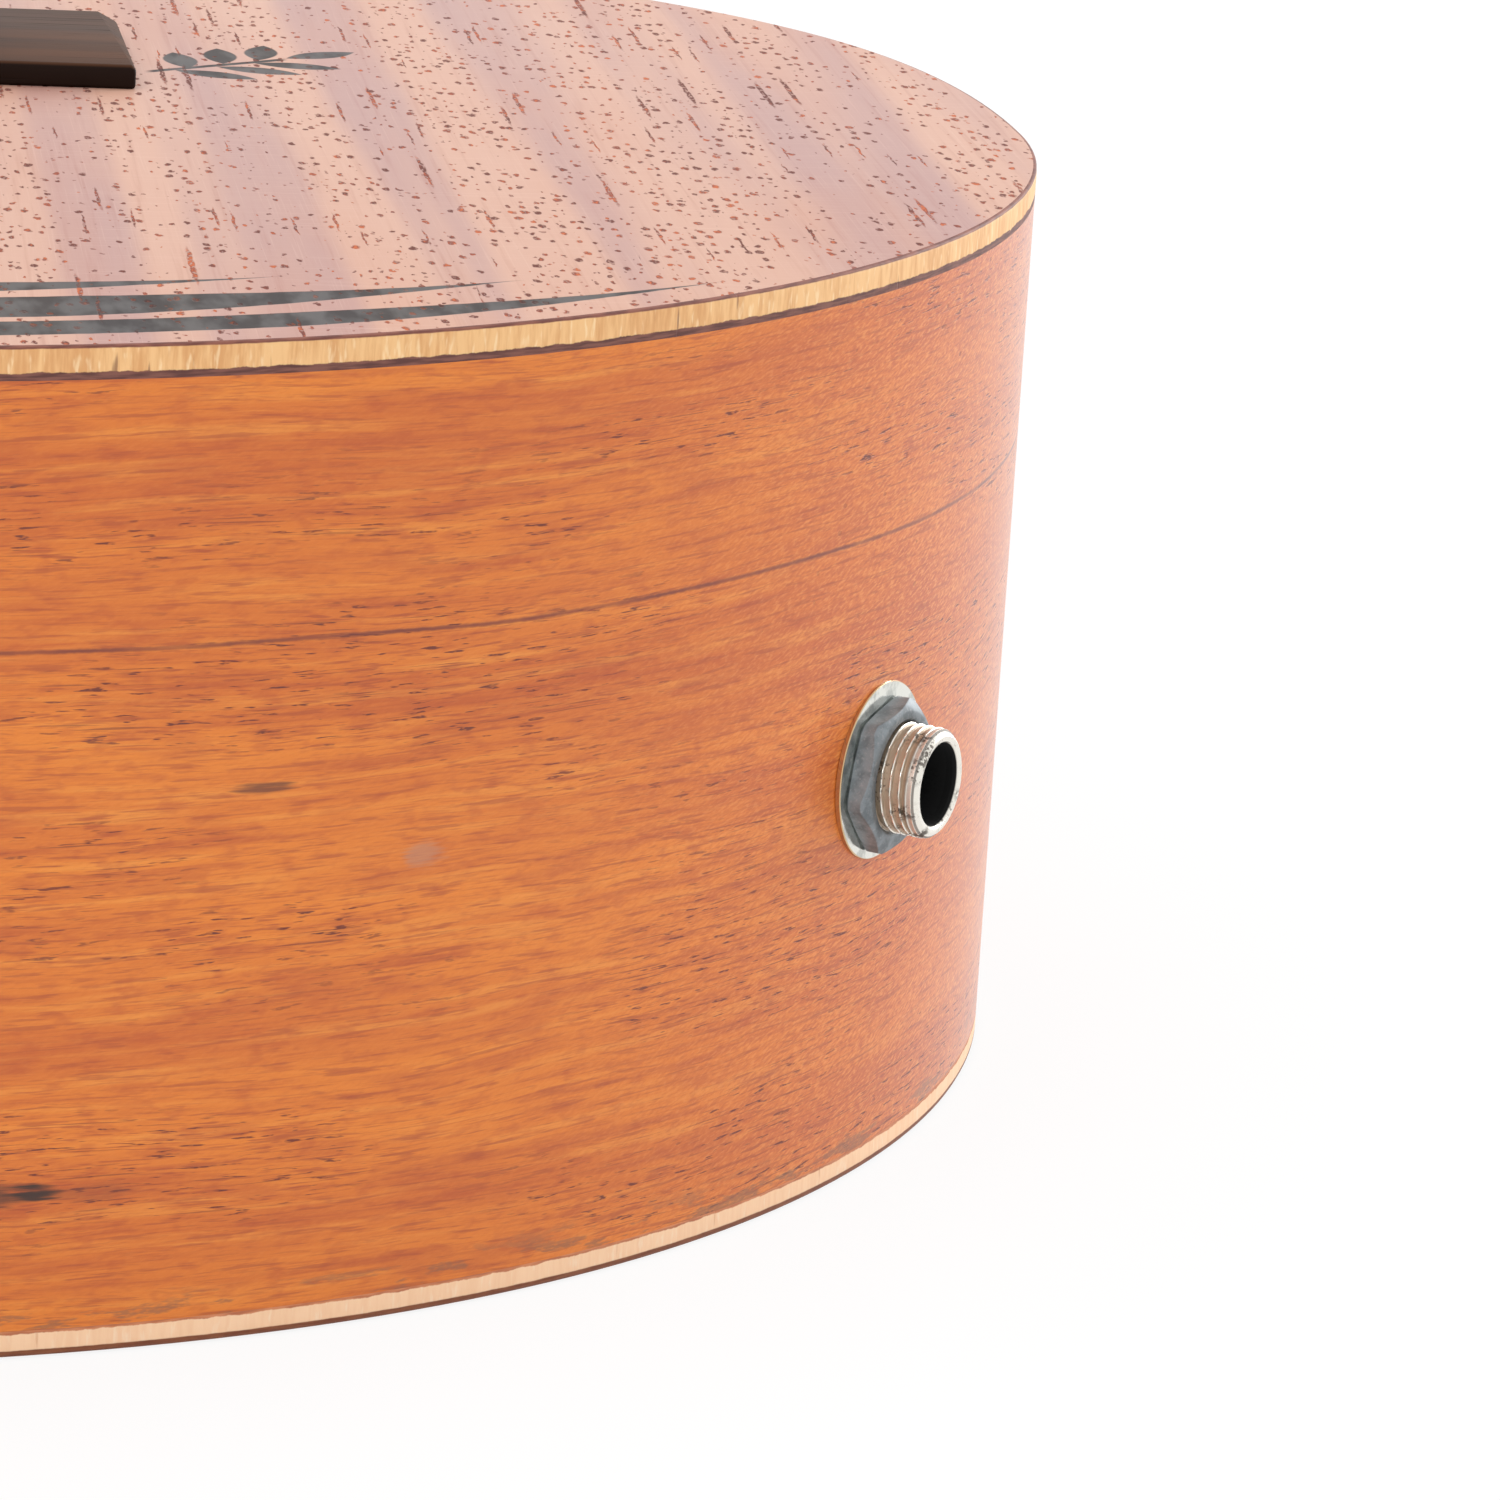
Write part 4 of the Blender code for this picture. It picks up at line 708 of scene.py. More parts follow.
def boneLook(tree):
    vector = objectPlace(tree)
    veins = cloud(stretch(vector, (60, 900, 900)), detail=3.0)
    shade = mixed(smooth(veins, 0.4, 0.75), tone(238, 231, 212), tone(229, 219, 194))
    return {"Base Color": shade, "Roughness": 0.26 + veins * 0.12}


def nylonLook(tree):
    haze = cloud(stretch(objectPlace(tree), (900, 60, 900)), detail=1.0)
    return {"Base Color": mixed(haze, tone(228, 224, 214), tone(206, 200, 188)), "Roughness": 0.16 + haze * 0.12}


def blackPlastic(tree):
    haze = cloud(stretch(objectPlace(tree), (500, 500, 500)))
    return {"Base Color": mixed(haze, tone(20, 19, 19), tone(34, 32, 31)), "Roughness": 0.16 + haze * 0.14}


def pearlLook(tree):
    sheen = cloud(stretch(objectPlace(tree), (700, 300, 700)), twist=2.0)
    return {"Base Color": mixed(sheen, tone(240, 238, 228), tone(206, 216, 214)), "Roughness": 0.14 + sheen * 0.14}


def wireSleeve(tree):
    haze = cloud(stretch(objectPlace(tree), (800, 800, 800)))
    return {"Base Color": mixed(haze, tone(24, 23, 23), tone(44, 42, 40)), "Roughness": 0.45 + haze * 0.15}


looks = {
    "soundboard": material("soundboard", soundboardLook),
    "topEdge": material("topEdge", lambda tree: plyEdge(tree, topEdgeFinish)),
    "back": material("back", backLook),
    "backEdge": material("backEdge", lambda tree: plyEdge(tree, backEdgeFinish)),
    "sides": material("sides", sideLook, **{"Coat Roughness": 0.24}),
    "neck": material("neck", solidWood(tone(176, 104, 66), tone(152, 82, 50), tone(98, 46, 28), 0.46)),
    "overlay": material("overlay", solidWood(tone(188, 116, 80), tone(158, 88, 60), tone(98, 48, 32), 0.42)),
    "blocks": material("blocks", solidWood(tone(176, 112, 74), tone(150, 88, 56), tone(98, 54, 34), 0.7)),
    "inner_wood": material("innerWood", solidWood(
        tone(226, 196, 146), tone(208, 172, 120), tone(184, 142, 92), 0.7, (0, 0, math.pi / 2), 0.25)),
    "fretboard": material("fretboard", solidWood(tone(76, 50, 38), tone(50, 32, 25), tone(26, 16, 12), 0.42)),
    "bridge": material("bridge", bridgeLook, **{"Specular IOR Level": 0.12}),
    "bone": material("bone", boneLook, **{"Subsurface Weight": 0.08}),
    "piezo": material("piezo", platedMetal(tone(214, 184, 120), tone(168, 136, 82), 0.35), Metallic=1.0),
    "lead": material("lead", wireSleeve),
    "nickel": material("nickel", platedMetal(tone(232, 230, 222), tone(190, 178, 156), 0.18, 0.25), Metallic=1.0),
    "jack": material("jack", jackLook),
    "washer": material("washer", washerLook, Metallic=1.0),
    "zinc": material("zinc", zincLook, Metallic=0.45),
    "strings": material("strings", nylonLook, **{"Transmission Weight": 0.35, "IOR": 1.5}),
    "tuner_steel": material("tunerSteel", platedMetal(tone(222, 220, 214), tone(190, 184, 172), 0.20), Metallic=1.0),
    "gear_brass": material("gearBrass", platedMetal(tone(220, 190, 122), tone(178, 142, 84), 0.26), Metallic=1.0),
    "buttons": material("buttons", blackPlastic, **{"Coat Weight": 0.3, "Coat Roughness": 0.08}),
    "pearl": material("pearl", pearlLook, **{"Coat Weight": 0.4, "Coat Roughness": 0.05}),
    "fretMetal": material("fretMetal", platedMetal(tone(216, 214, 206), tone(178, 172, 160), 0.18), Metallic=1.0),
}

slotOf = {part["node"]: part["material_slot"] for part in frame["record"]["subparts"]}
for nodeName, nodeObject in frame["nodes"].items():
    for place in nodeObject.material_slots:
        place.material = looks[slotOf[nodeName]]
print("finishes made for", len(slotOf), "nodes")


# Mesh helpers

def dressed(made, lookNames, body, angle):
    for lookName in lookNames:
        made.data.materials.append(looks[lookName])
    made.data.shade_smooth()
    made.data.set_sharp_from_angle(angle=math.radians(angle))
    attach(made, body)
    return made


def rawPiece(name, shape):
    mesh = bpy.data.meshes.new(name)
    shape.to_mesh(mesh)
    shape.free()
    made = bpy.data.objects.new(name, mesh)
    bpy.context.scene.collection.objects.link(made)
    return made


def finishMesh(name, shape, lookNames, body="instrument", angle=35):
    return dressed(rawPiece(name, shape), lookNames, body, angle)


def bevelled(made, width, segments=3, angle=30):
    step = made.modifiers.new("bevel", "BEVEL")
    step.width = width
    step.segments = segments
    step.limit_method = "ANGLE"
    step.angle_limit = math.radians(angle)
    return made


def cutBy(made, shape, name="cutter"):
    # takes a shape away from a piece, once the piece is settled
    cutter = rawPiece(name, shape)
    step = made.modifiers.new("cut", "BOOLEAN")
    step.operation = "DIFFERENCE"
    step.solver = "EXACT"
    step.object = cutter
    return cutter


def settled(made, lookNames, body="instrument", angle=35):
    # applies the modifiers, so that the piece is a plain mesh
    graph = bpy.context.evaluated_depsgraph_get()
    mesh = bpy.data.meshes.new_from_object(made.evaluated_get(graph))
    cutters = [step.object for step in made.modifiers if step.type == "BOOLEAN"]
    made.modifiers.clear()
    made.data = mesh
    mesh.materials.clear()
    for cutter in cutters:
        bpy.data.objects.remove(cutter)
    return dressed(made, lookNames, body, angle)


def loftRings(shape, rings, closed=True, caps=True):
    rows = [[shape.verts.new(point) for point in ring] for ring in rings]
    count = len(rows[0])
    for low, high in zip(rows, rows[1:]):
        for i in range(count if closed else count - 1):
            j = (i + 1) % count
            shape.faces.new((low[i], low[j], high[j], high[i]))
    if caps:
        shape.faces.new(rows[0][::-1])
        shape.faces.new(rows[-1])


def lathe(shape, profile, segments, matrix, radiusAt=None):
    # rings of a turned piece about its own Z axis
    rings = []
    for radius, height in profile:
        ring = []
        for i in range(segments):
            angle = 2 * math.pi * i / segments
            reach = radiusAt(angle, height) if radius is None else radius
            ring.append(matrix @ Vector((reach * math.cos(angle), reach * math.sin(angle), height)))
        rings.append(ring)
    loftRings(shape, rings)
    bmesh.ops.recalc_face_normals(shape, faces=shape.faces)


def tube(shape, points, radii, sides=12):
    # a round tube along points, turned as little as it can be from ring to ring
    points = [Vector(point) for point in points]
    tangents = []
    for i in range(len(points)):
        ahead = points[min(i + 1, len(points) - 1)] - points[max(i - 1, 0)]
        tangents.append(ahead.normalized())
    side = tangents[0].orthogonal().normalized()
    rings = []
    for i, (point, tangent) in enumerate(zip(points, tangents)):
        if i:
            side = tangents[i - 1].rotation_difference(tangent) @ side
            side = (side - tangent * side.dot(tangent)).normalized()
        other = tangent.cross(side)
        radius = radii[i] if hasattr(radii, "__len__") else radii
        rings.append([point + (side * math.cos(2 * math.pi * k / sides) + other * math.sin(2 * math.pi * k / sides))
                      * radius for k in range(sides)])
    loftRings(shape, rings)


def eased(points, reach, steps=5):
    # rounds the corners of a line of points
    soft = [points[0]]
    for before, corner, after in zip(points, points[1:], points[2:]):
        first, second = before - corner, after - corner
        start = corner + first * min(reach / first.length, 0.45)
        end = corner + second * min(reach / second.length, 0.45)
        for i in range(steps + 1):
            share = i / steps
            soft.append(start * (1 - share) ** 2 + corner * 2 * share * (1 - share) + end * share * share)
    return soft + [points[-1]]


def block(shape, low, high):
    corners = [(low[0], low[1]), (high[0], low[1]), (high[0], high[1]), (low[0], high[1])]
    loftRings(shape, [[Vector((x, y, z)) for x, y in corners] for z in (low[2], high[2])])


# Body shell

def bothHalves(half):
    return half + [point * Vector((-1, 1)) for point in half[-2:0:-1]]


def plateRings(profile):
    return [[Vector((*point, height)) for point in bothHalves(movedIn(rim, inset))] for inset, height in profile]


def bandStrip(shape, uvs, rings):
    # joins rings round the rim, with metres along the rim and heights as the uv map
    rows = [[shape.verts.new(point) for point in ring] for ring in rings]
    count = len(rows[0])
    total = 2 * rimLengths[-1]
    for low, high in zip(rows, rows[1:]):
        for i in range(count):
            j = (i + 1) % count
            face = shape.faces.new((low[i], low[j], high[j], high[i]))
            face.material_index = 1
            start, end = wholeLengths[i], wholeLengths[j] if j else total
            for loop, along in zip(face.loops, (start, end, end, start)):
                loop[uvs].uv = (along, loop.vert.co.z)
    return rows


def fillFlat(shape, uvs, loops, up):
    edges = []
    for loop in loops:
        for i, vert in enumerate(loop):
            edges.append(shape.edges.get((vert, loop[(i + 1) % len(loop)])))
    made = bmesh.ops.triangle_fill(shape, edges=edges, use_beauty=False, normal=(0, 0, 1 if up else -1))["geom"]
    for face in (item for item in made if isinstance(item, bmesh.types.BMFace)):
        face.material_index = 0
        if (face.normal.z > 0) != up:
            face.normal_flip()
        for loop in face.loops:
            loop[uvs].uv = loop.vert.co.to_2d()


soundboardForm = {
    "edge": [(0.00030, 0.0), (0.00009, -0.00005), (0.00002, -0.00016), (0.0, -0.00045), (0.0, -0.0018), (0.0, -0.0024)],
    "holeRadius": 0.0325,
    "holeY": 0.094,
    "holeSteps": 128,
    "holeRound": 0.0003,
    "leadX": 0.0215,
    "leadHole": 0.0013,
}


def holeWall(shape, uvs, centre, profile, steps):
    # the wall of a round hole, from its top ring to its bottom ring
    rows = []
    for radius, height in profile:
        rows.append([shape.verts.new((centre[0] + radius * math.cos(2 * math.pi * i / steps),
                                      centre[1] + radius * math.sin(2 * math.pi * i / steps), height))
                     for i in range(steps)])
    for low, high in zip(rows, rows[1:]):
        for i in range(steps):
            j = (i + 1) % steps
            face = shape.faces.new((low[i], high[i], high[j], low[j]))
            face.material_index = 1
            for loop, along in zip(face.loops, (i, i, i + 1, i + 1)):
                loop[uvs].uv = (along / steps * 2 * math.pi * profile[0][0], loop.vert.co.z)
    return rows


def makeSoundboard():
    form = soundboardForm
    top, bottom = bodyForm["depth"], bodyForm["depth"] - bodyForm["topThickness"]
    shape = bmesh.new()
    uvs = shape.loops.layers.uv.new("rim")
    rows = bandStrip(shape, uvs, plateRings([(inset, top + drop) for inset, drop in form["edge"]])[::-1])
    corner, radius = form["holeRound"], form["holeRadius"]
    profile = [(radius + corner, top), (radius + corner * 0.3, top - corner * 0.3), (radius, top - corner), (radius, bottom)]
    hole = holeWall(shape, uvs, (0, form["holeY"]), profile, form["holeSteps"])
    lead = holeWall(shape, uvs, (form["leadX"], 0), [(form["leadHole"], top), (form["leadHole"], bottom)], 16)
    fillFlat(shape, uvs, [rows[-1], hole[0], lead[0]], True)
    fillFlat(shape, uvs, [rows[0], hole[-1], lead[-1]], False)
    made = finishMesh("soundboardPlate", shape, ["soundboard", "topEdge"], angle=50)
    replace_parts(made, "soundboard")


def makeBack():
    shape = bmesh.new()
    uvs = shape.loops.layers.uv.new("rim")
    edge = [(0.0004, 0.0), (0.00012, 0.00010), (0.0, 0.00035), (0.0, 0.0011), (0.0, bodyForm["backThickness"])]
    rows = bandStrip(shape, uvs, plateRings(edge))
    fillFlat(shape, uvs, [rows[0]], False)
    fillFlat(shape, uvs, [rows[-1]], True)
    made = finishMesh("backPlate", shape, ["back", "backEdge"], angle=50)
    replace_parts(made, "back")


def makeSide(name, hand):
    inner = movedIn(rim, bodyForm["sideThickness"])
    low, high = bodyForm["backThickness"], bodyForm["depth"] - bodyForm["topThickness"]
    shape = bmesh.new()
    uvs = shape.loops.layers.uv.new("rim")
    columns = []
    for outside, inside in zip(rim, inner):
        heights = (low, low + 0.0004, (low + high) / 2, high - 0.0004, high)
        outer = [Vector((hand * outside.x, outside.y, height)) for height in heights]
        back = [Vector((hand * inside.x, inside.y, height)) for height in (high, low)]
        columns.append([shape.verts.new(point) for point in outer + back])
    for i in range(len(columns) - 1):
        first, second = columns[i], columns[i + 1]
        for k in range(7):
            n = (k + 1) % 7
            face = shape.faces.new((first[k], second[k], second[n], first[n]))
            spans = {first[k]: i, first[n]: i, second[k]: i + 1, second[n]: i + 1}
            for loop in face.loops:
                loop[uvs].uv = (hand * rimLengths[spans[loop.vert]], loop.vert.co.z)
    for column in (columns[0], columns[-1]):
        shape.faces.new(column)
    bmesh.ops.recalc_face_normals(shape, faces=shape.faces)
    made = rawPiece(name, shape)
    if hand > 0:
        drill = bmesh.new()
        lathe(drill, [(jackForm["holeRadius"], -0.01), (jackForm["holeRadius"], 0.01)], 48, jackPlace)
        cutBy(made, drill)
    settled(made, ["sides"], angle=50)
    return made


makeSoundboard()
makeBack()
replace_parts(makeSide("sideTreble", 1), "side_treble")
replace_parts(makeSide("sideBass", -1), "side_bass")
print("body shell made")


# Bridge and saddle

bridgeForm = {
    "halfLength": 0.0391,
    "behind": -0.013,
    "before": 0.013,
    "height": 0.0083,
    "wing": 0.0020,
    "endBevel": (0.0004, 0.0017),
    "endDrop": (0.0003, 0.0009),
    "blockHalf": 0.0245,
    "rise": 0.003,
    "saddleHalf": 0.0235,
    "saddleSlot": 0.0028,
    "saddleFloor": 0.0756,
    "saddleThickness": 0.0024,
    "saddleSeat": 0.0770,
    "strings": (-0.021, -0.007, 0.007, 0.021),
    "stringSlot": 0.0016,
    "slotFloor": 0.0757,
    "leadHole": 0.0013,
    "edgeRound": 0.0003,
}


def makeBridge():
    form = bridgeForm
    top = bodyForm["depth"]
    rings = []
    for y, bevel, drop in zip((form["behind"], form["before"]), form["endBevel"], form["endDrop"]):
        right = [(form["halfLength"], 0.0), (form["halfLength"], form["wing"] - drop),
                 (form["halfLength"] - bevel, form["wing"])]
        for i in range(15):
            angle = math.pi / 2 * i / 14
            x = form["blockHalf"] + form["rise"] * (1 - math.sin(angle))
            right.append((x, form["height"] - (form["height"] - form["wing"]) * math.cos(angle)))
        rings.append([Vector((x, y, top + z)) for x, z in right + [(-x, z) for x, z in right[::-1]]])
    shape = bmesh.new()
    loftRings(shape, rings)
    bmesh.ops.recalc_face_normals(shape, faces=shape.faces)
    bar = bevelled(rawPiece("bridgeBar", shape), form["edgeRound"])
    cutter = bmesh.new()
    half = form["saddleSlot"] / 2
    block(cutter, (-form["saddleHalf"], -half, form["saddleFloor"]), (form["saddleHalf"], half, top + 0.02))
    for x in form["strings"]:
        width = form["stringSlot"] / 2
        block(cutter, (x - width, -0.03, form["slotFloor"]), (x + width, -half - 0.002, top + 0.02))
    lathe(cutter, [(form["leadHole"], -0.01), (form["leadHole"], 0.004)], 20,
          Matrix.Translation((soundboardForm["leadX"], 0, top)))
    cutBy(bar, cutter)
    settled(bar, ["bridge"])
    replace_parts(bar, "bridge")


stringForm = {
    "diameters": (0.0007, 0.0009, 0.0008, 0.0006),
    "nutSpread": 0.028,
    "saddleSpread": 0.042,
    "bottomAtNut": 0.0786 + 0.0004,
    "bottomAtSaddle": 2 * (0.0786 + 0.0026) - (0.0786 + 0.0004),
    "exitHeight": 0.0726 + 0.0038,
    "turns": 4,
    "loopPoints": 44,
    "stub": 0.0025,
    "nutFront": 0.437,
    "knotTurns": 3,
}


def makeSaddle():
    form = bridgeForm
    half = form["saddleThickness"] / 2
    rings = []
    for step in range(25):
        share = step / 24
        x = (share * 2 - 1) * (form["saddleHalf"] - 0.0002)
        end = max(0.0, abs(share * 2 - 1) - 0.94) / 0.06
        crown = stringForm["bottomAtSaddle"] - 0.0007 * end * end
        ring = [Vector((x, -half, form["saddleSeat"])), Vector((x, half, form["saddleSeat"]))]
        for i in range(13):
            angle = math.pi * i / 12
            ring.append(Vector((x, half * math.cos(angle), crown - half + half * math.sin(angle))))
        rings.append(ring)
    shape = bmesh.new()
    loftRings(shape, rings)
    bmesh.ops.recalc_face_normals(shape, faces=shape.faces)
    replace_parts(finishMesh("saddleBar", shape, ["bone"], angle=40), "saddle")


makeBridge()
makeSaddle()
print("bridge and saddle made")


# Jack in the treble side

def makeJackBarrel():
    form = jackForm
    lowest = form["shoulder"] - form["housingLength"]
    end = form["reach"] - form["lip"]
    rows = int((end - form["shoulder"]) / form["pitch"] * 15)

    def threadRadius(angle, height):
        phase = (height / form["pitch"] - angle / (2 * math.pi)) % 1.0
        flank = abs(phase * 2 - 1)
        worn = min(1.0, max(0.0, (flank - 0.10) / 0.34))
        fade = min(1.0, max(0.0, (end - height) / (0.5 * form["pitch"])))
        return form["radius"] - form["threadDepth"] * worn * fade

    housing, lip, bore, reach = form["housingRadius"], form["radius"] - 0.00007, form["bore"], form["reach"]
    profile = [(0.0005, lowest), (housing - 0.0004, lowest), (housing, lowest + 0.0004),
               (housing, form["shoulder"] - 0.0002), (housing - 0.0002, form["shoulder"])]
    profile += [(None, form["shoulder"] + (end - form["shoulder"]) * row / rows) for row in range(rows + 1)]
    profile += [(lip, end + 0.00006), (lip, reach - 0.00046), (lip - 0.00005, reach - 0.00037),
                (lip - 0.00013, reach - 0.00033), (lip - 0.00019, reach - 0.00026), (lip - 0.00030, reach - 0.00010),
                (lip - 0.00046, reach), (bore + 0.00024, reach - 0.00001), (bore + 0.00009, reach - 0.00008),
                (bore + 0.00001, reach - 0.00020), (bore, reach - 0.0006), (bore, lowest + 0.002), (0.0005, lowest + 0.002)]
    shape = bmesh.new()
    lathe(shape, profile, 128, barrelPlace, threadRadius)
    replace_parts(finishMesh("jackBarrel", shape, ["jack"], angle=28), "jack_barrel")


def closedTurning(name, profileAt, segments, place, lookName, angle):
    # a ring-shaped piece round the jack, whose section may change with the angle
    columns = []
    for i in range(segments):
        turn = 2 * math.pi * i / segments
        columns.append([place @ Vector((radius * math.cos(turn), radius * math.sin(turn), height))
                        for radius, height in profileAt(turn)])
    shape = bmesh.new()
    loftRings(shape, columns + columns[:1], caps=False)
    bmesh.ops.remove_doubles(shape, verts=shape.verts, dist=1e-7)
    bmesh.ops.recalc_face_normals(shape, faces=shape.faces)
    return finishMesh(name, shape, [lookName], angle=angle)


def washerProfile(turn):
    outer, inner, top = jackForm["washerRadius"], jackForm["radius"] + 0.0003, jackForm["washerTop"]
    return [(inner, -0.0003), (outer - 0.0001, -0.0003), (outer, -0.0002), (outer, top - 0.00008), (outer - 0.00004, top - 0.00002),
            (outer - 0.0001, top), (inner, top)]


def nutProfile(turn):
    # a hexagon whose corners a cone has taken off on the outer face
    form = jackForm
    flat = form["nutFlats"] / 2
    low, high = form["washerTop"], form["nutTop"]
    bore = form["radius"] - 0.00005
    within = (turn + math.pi / 6 + form["nutTurn"]) % (math.pi / 3) - math.pi / 6
    edge = min(flat / math.cos(within), form["nutCorner"])
    drop = (edge - flat) * 0.62 + 0.00012
    face = flat - 0.00022
    return [(bore, low), (edge - 0.0001 - drop * 0.3, low), (edge, low + 0.00008 + drop * 0.3),
            (edge, high - drop - 0.00004), (edge - 0.00006, high - drop + 0.00003), (face, high - 0.00003),
            (face - 0.00014, high), (bore + 0.00036, high), (bore + 0.00026, high - 0.00004), (bore, high - 0.00030)]


makeJackBarrel()
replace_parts(closedTurning("jackWasher", washerProfile, 120, jackPlace, "washer", 30), "jack_washer")
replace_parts(closedTurning("jackNut", nutProfile, 144, barrelPlace, "zinc", 22), "jack_nut")
print("jack made")


# Pickup lead, from the strip under the saddle to the jack

leadForm = {
    "start": (0.0215, 0.0, 0.0757),
    "below": 0.0646,
    "drop": 0.022,
    "diameter": 0.0014,
    "intoJack": 0.0265,
}


def makeLead():
    form = leadForm
    start = Vector(form["start"])
    below = Vector((start.x, start.y, form["below"]))
    end = jackPlace @ Vector((0, 0, -form["intoJack"]))
    inward = (jackPlace.to_3x3() @ Vector((0, 0, -1))).normalized()
    bend = interpolate_bezier(below, below - Vector((0, 0, form["drop"])), end + inward * 0.02, end + inward * 0.003, 56)
    shape = bmesh.new()
    tube(shape, [start] + bend + [end], form["diameter"] / 2, 14)
    bmesh.ops.recalc_face_normals(shape, faces=shape.faces)
    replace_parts(finishMesh("pickupLead", shape, ["lead"], angle=50), "pickup_lead")


makeLead()
print("pickup lead made")


# Frets, markers and nut

boardForm = {
    "scale": 0.432,
    "count": 19,
    "top": 0.0776,
    "halfAtNut": 0.018,
    "halfAtJoin": 0.023,
    "crownHalf": 0.00103,
    "crownHeight": 0.00103,
    "dots": {5: (0.0,), 7: (0.0,), 10: (0.0,), 12: (-0.0085, 0.0085), 15: (0.0,), 17: (0.0,)},
    "dotRadius": 0.003,
    "nutThickness": 0.005,
    "nutAboveString": 0.0006,
}


def fretPlace(number):
    return boardForm["scale"] * 2 ** (-number / 12)


def boardHalf(y):
    joinY, nutY = bodyForm["joinY"], boardForm["scale"]
    return boardForm["halfAtNut"] + (boardForm["halfAtJoin"] - boardForm["halfAtNut"]) * (nutY - y) / (nutY - joinY)


def makeFrets():
    form = boardForm
    shape = bmesh.new()
    for number in range(1, form["count"] + 1):
        y = fretPlace(number)
        half = boardHalf(y)
        rings = []
        for x, size in ((-half, 0.80), (-half + 0.0003, 0.94), (-half + 0.0008, 1.0),
                        (half - 0.0008, 1.0), (half - 0.0003, 0.94), (half, 0.80)):
            ring = [Vector((x, y - form["crownHalf"], form["top"] - 0.0002))]
            for i in range(13):
                angle = math.pi * i / 12
                ring.append(Vector((x, y - form["crownHalf"] * math.cos(angle),
                                    form["top"] + max(0.00102 * math.sin(angle) * 0.98,
                                                      form["crownHeight"] * math.sin(angle) * size))))
            ring.append(Vector((x, y + form["crownHalf"], form["top"] - 0.0002)))
            rings.append(ring)
        loftRings(shape, rings)
    bmesh.ops.recalc_face_normals(shape, faces=shape.faces)
    finishMesh("fretCrowns", shape, ["fretMetal"], angle=40)


def makeMarkers():
    radius = boardForm["dotRadius"]
    shape = bmesh.new()
    for number, sides in boardForm["dots"].items():
        for x in sides:
            place = Matrix.Translation((x, (fretPlace(number) + fretPlace(number - 1)) / 2, boardForm["top"]))
            lathe(shape, [(0.0001, -0.0005), (radius, -0.0005), (radius, 0.00002), (radius - 0.0001, 0.00006),
                          (0.0001, 0.00006)], 40, place)
    finishMesh("fretMarkers", shape, ["pearl"], angle=40)


def stringX(number, spread):
    return spread * (number / 3 - 0.5)


def makeNut():
    form = boardForm
    low = bodyForm["depth"] + 0.0001
    high = stringForm["bottomAtNut"] + form["nutAboveString"]
    outline = [(-form["halfAtNut"], low), (form["halfAtNut"], low), (form["halfAtNut"], high - 0.0006)]
    for number in (3, 2, 1, 0):
        x = stringX(number, stringForm["nutSpread"])
        half = stringForm["diameters"][number] / 2 + 0.00006
        outline += [(x + half * 1.25, high), (x + half, stringForm["bottomAtNut"] + half)]
        for i in range(1, 6):
            angle = math.pi * i / 6
            outline.append((x + half * math.cos(angle), stringForm["bottomAtNut"] + half - half * math.sin(angle)))
        outline += [(x - half, stringForm["bottomAtNut"] + half), (x - half * 1.25, high)]
    outline.append((-form["halfAtNut"], high - 0.0006))
    rings = [[Vector((x, y, z)) for x, z in outline] for y in (form["scale"], form["scale"] + form["nutThickness"])]
    shape = bmesh.new()
    loftRings(shape, rings)
    bmesh.ops.recalc_face_normals(shape, faces=shape.faces)
    made = bevelled(rawPiece("nutBar", shape), 0.00018, 2, 50)
    settled(made, ["bone"])
    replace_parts(made, "nut")


makeFrets()
makeMarkers()
makeNut()
print("frets, markers and nut made")


# Tuning machines on the headstock

headForm = {
    "tilt": math.radians(13),
    "length": 0.124,
    "thickness": 0.013,
    "halfWidth": 0.029,
    "taper": 0.0025,
    "flare": 0.026,
    "crown": 0.016,
    "overlayTop": 0.0018,
    "places": (0.034, 0.078),
    "postFromEdge": 0.0115,
}
tunerForm = {
    "postRadius": 0.00295,
    "postWaist": 0.0003,
    "postAbove": 0.0122,
    "holeAbove": 0.0088,
    "holeRadius": 0.00115,
    "journal": 0.0022,
    "bushingTop": 0.0018 + 0.0003 + 0.001,
    "bushingWall": 0.001,
    "flangeWidth": 0.001,
    "plateTop": -0.0133,
    "plateBottom": -0.0142,
    "plateHalf": 0.0049,
    "platePastPost": 0.011,
    "platePastWorm": 0.0085,
    "earHalf": 0.0026,
    "earInner": 0.0040,
    "screwFromEnd": 0.003,
    "wormRadius": 0.0022,
    "toothHeight": 0.0005,
    "toothThickness": 0.00062,
    "shaftRadius": 0.0015,
    "gearPitch": 0.004,
    "gearTeeth": 14,
    "gearThickness": 0.0026,
    "clearance": 0.00015,
    "wormTurns": 3,
    "collarRadius": 0.0023,
    "collarThickness": 0.001,
    "buttonFromEdge": 0.0025,
    "buttonLength": 0.0135,
    "buttonHalfWidth": 0.0058,
    "buttonHalfThickness": 0.0037,
    "buttonSwell": [(0.0, 0.42), (0.08, 0.52), (0.28, 0.76), (0.5, 0.97), (0.68, 1.0), (0.84, 0.9), (0.95, 0.66), (1.0, 0.4)],
}
headPlace = Matrix.Translation((0, stringForm["nutFront"], bodyForm["depth"])) @ Matrix.Rotation(-headForm["tilt"], 4, "X")
wormLevel = tunerForm["plateBottom"] - 0.0003 - tunerForm["wormRadius"] - tunerForm["toothHeight"]
wormOffset = tunerForm["gearPitch"] + tunerForm["wormRadius"] + tunerForm["clearance"]
wormLead = 2 * math.pi * tunerForm["gearPitch"] / tunerForm["gearTeeth"]
gearBottom = wormLevel - tunerForm["gearThickness"] / 2


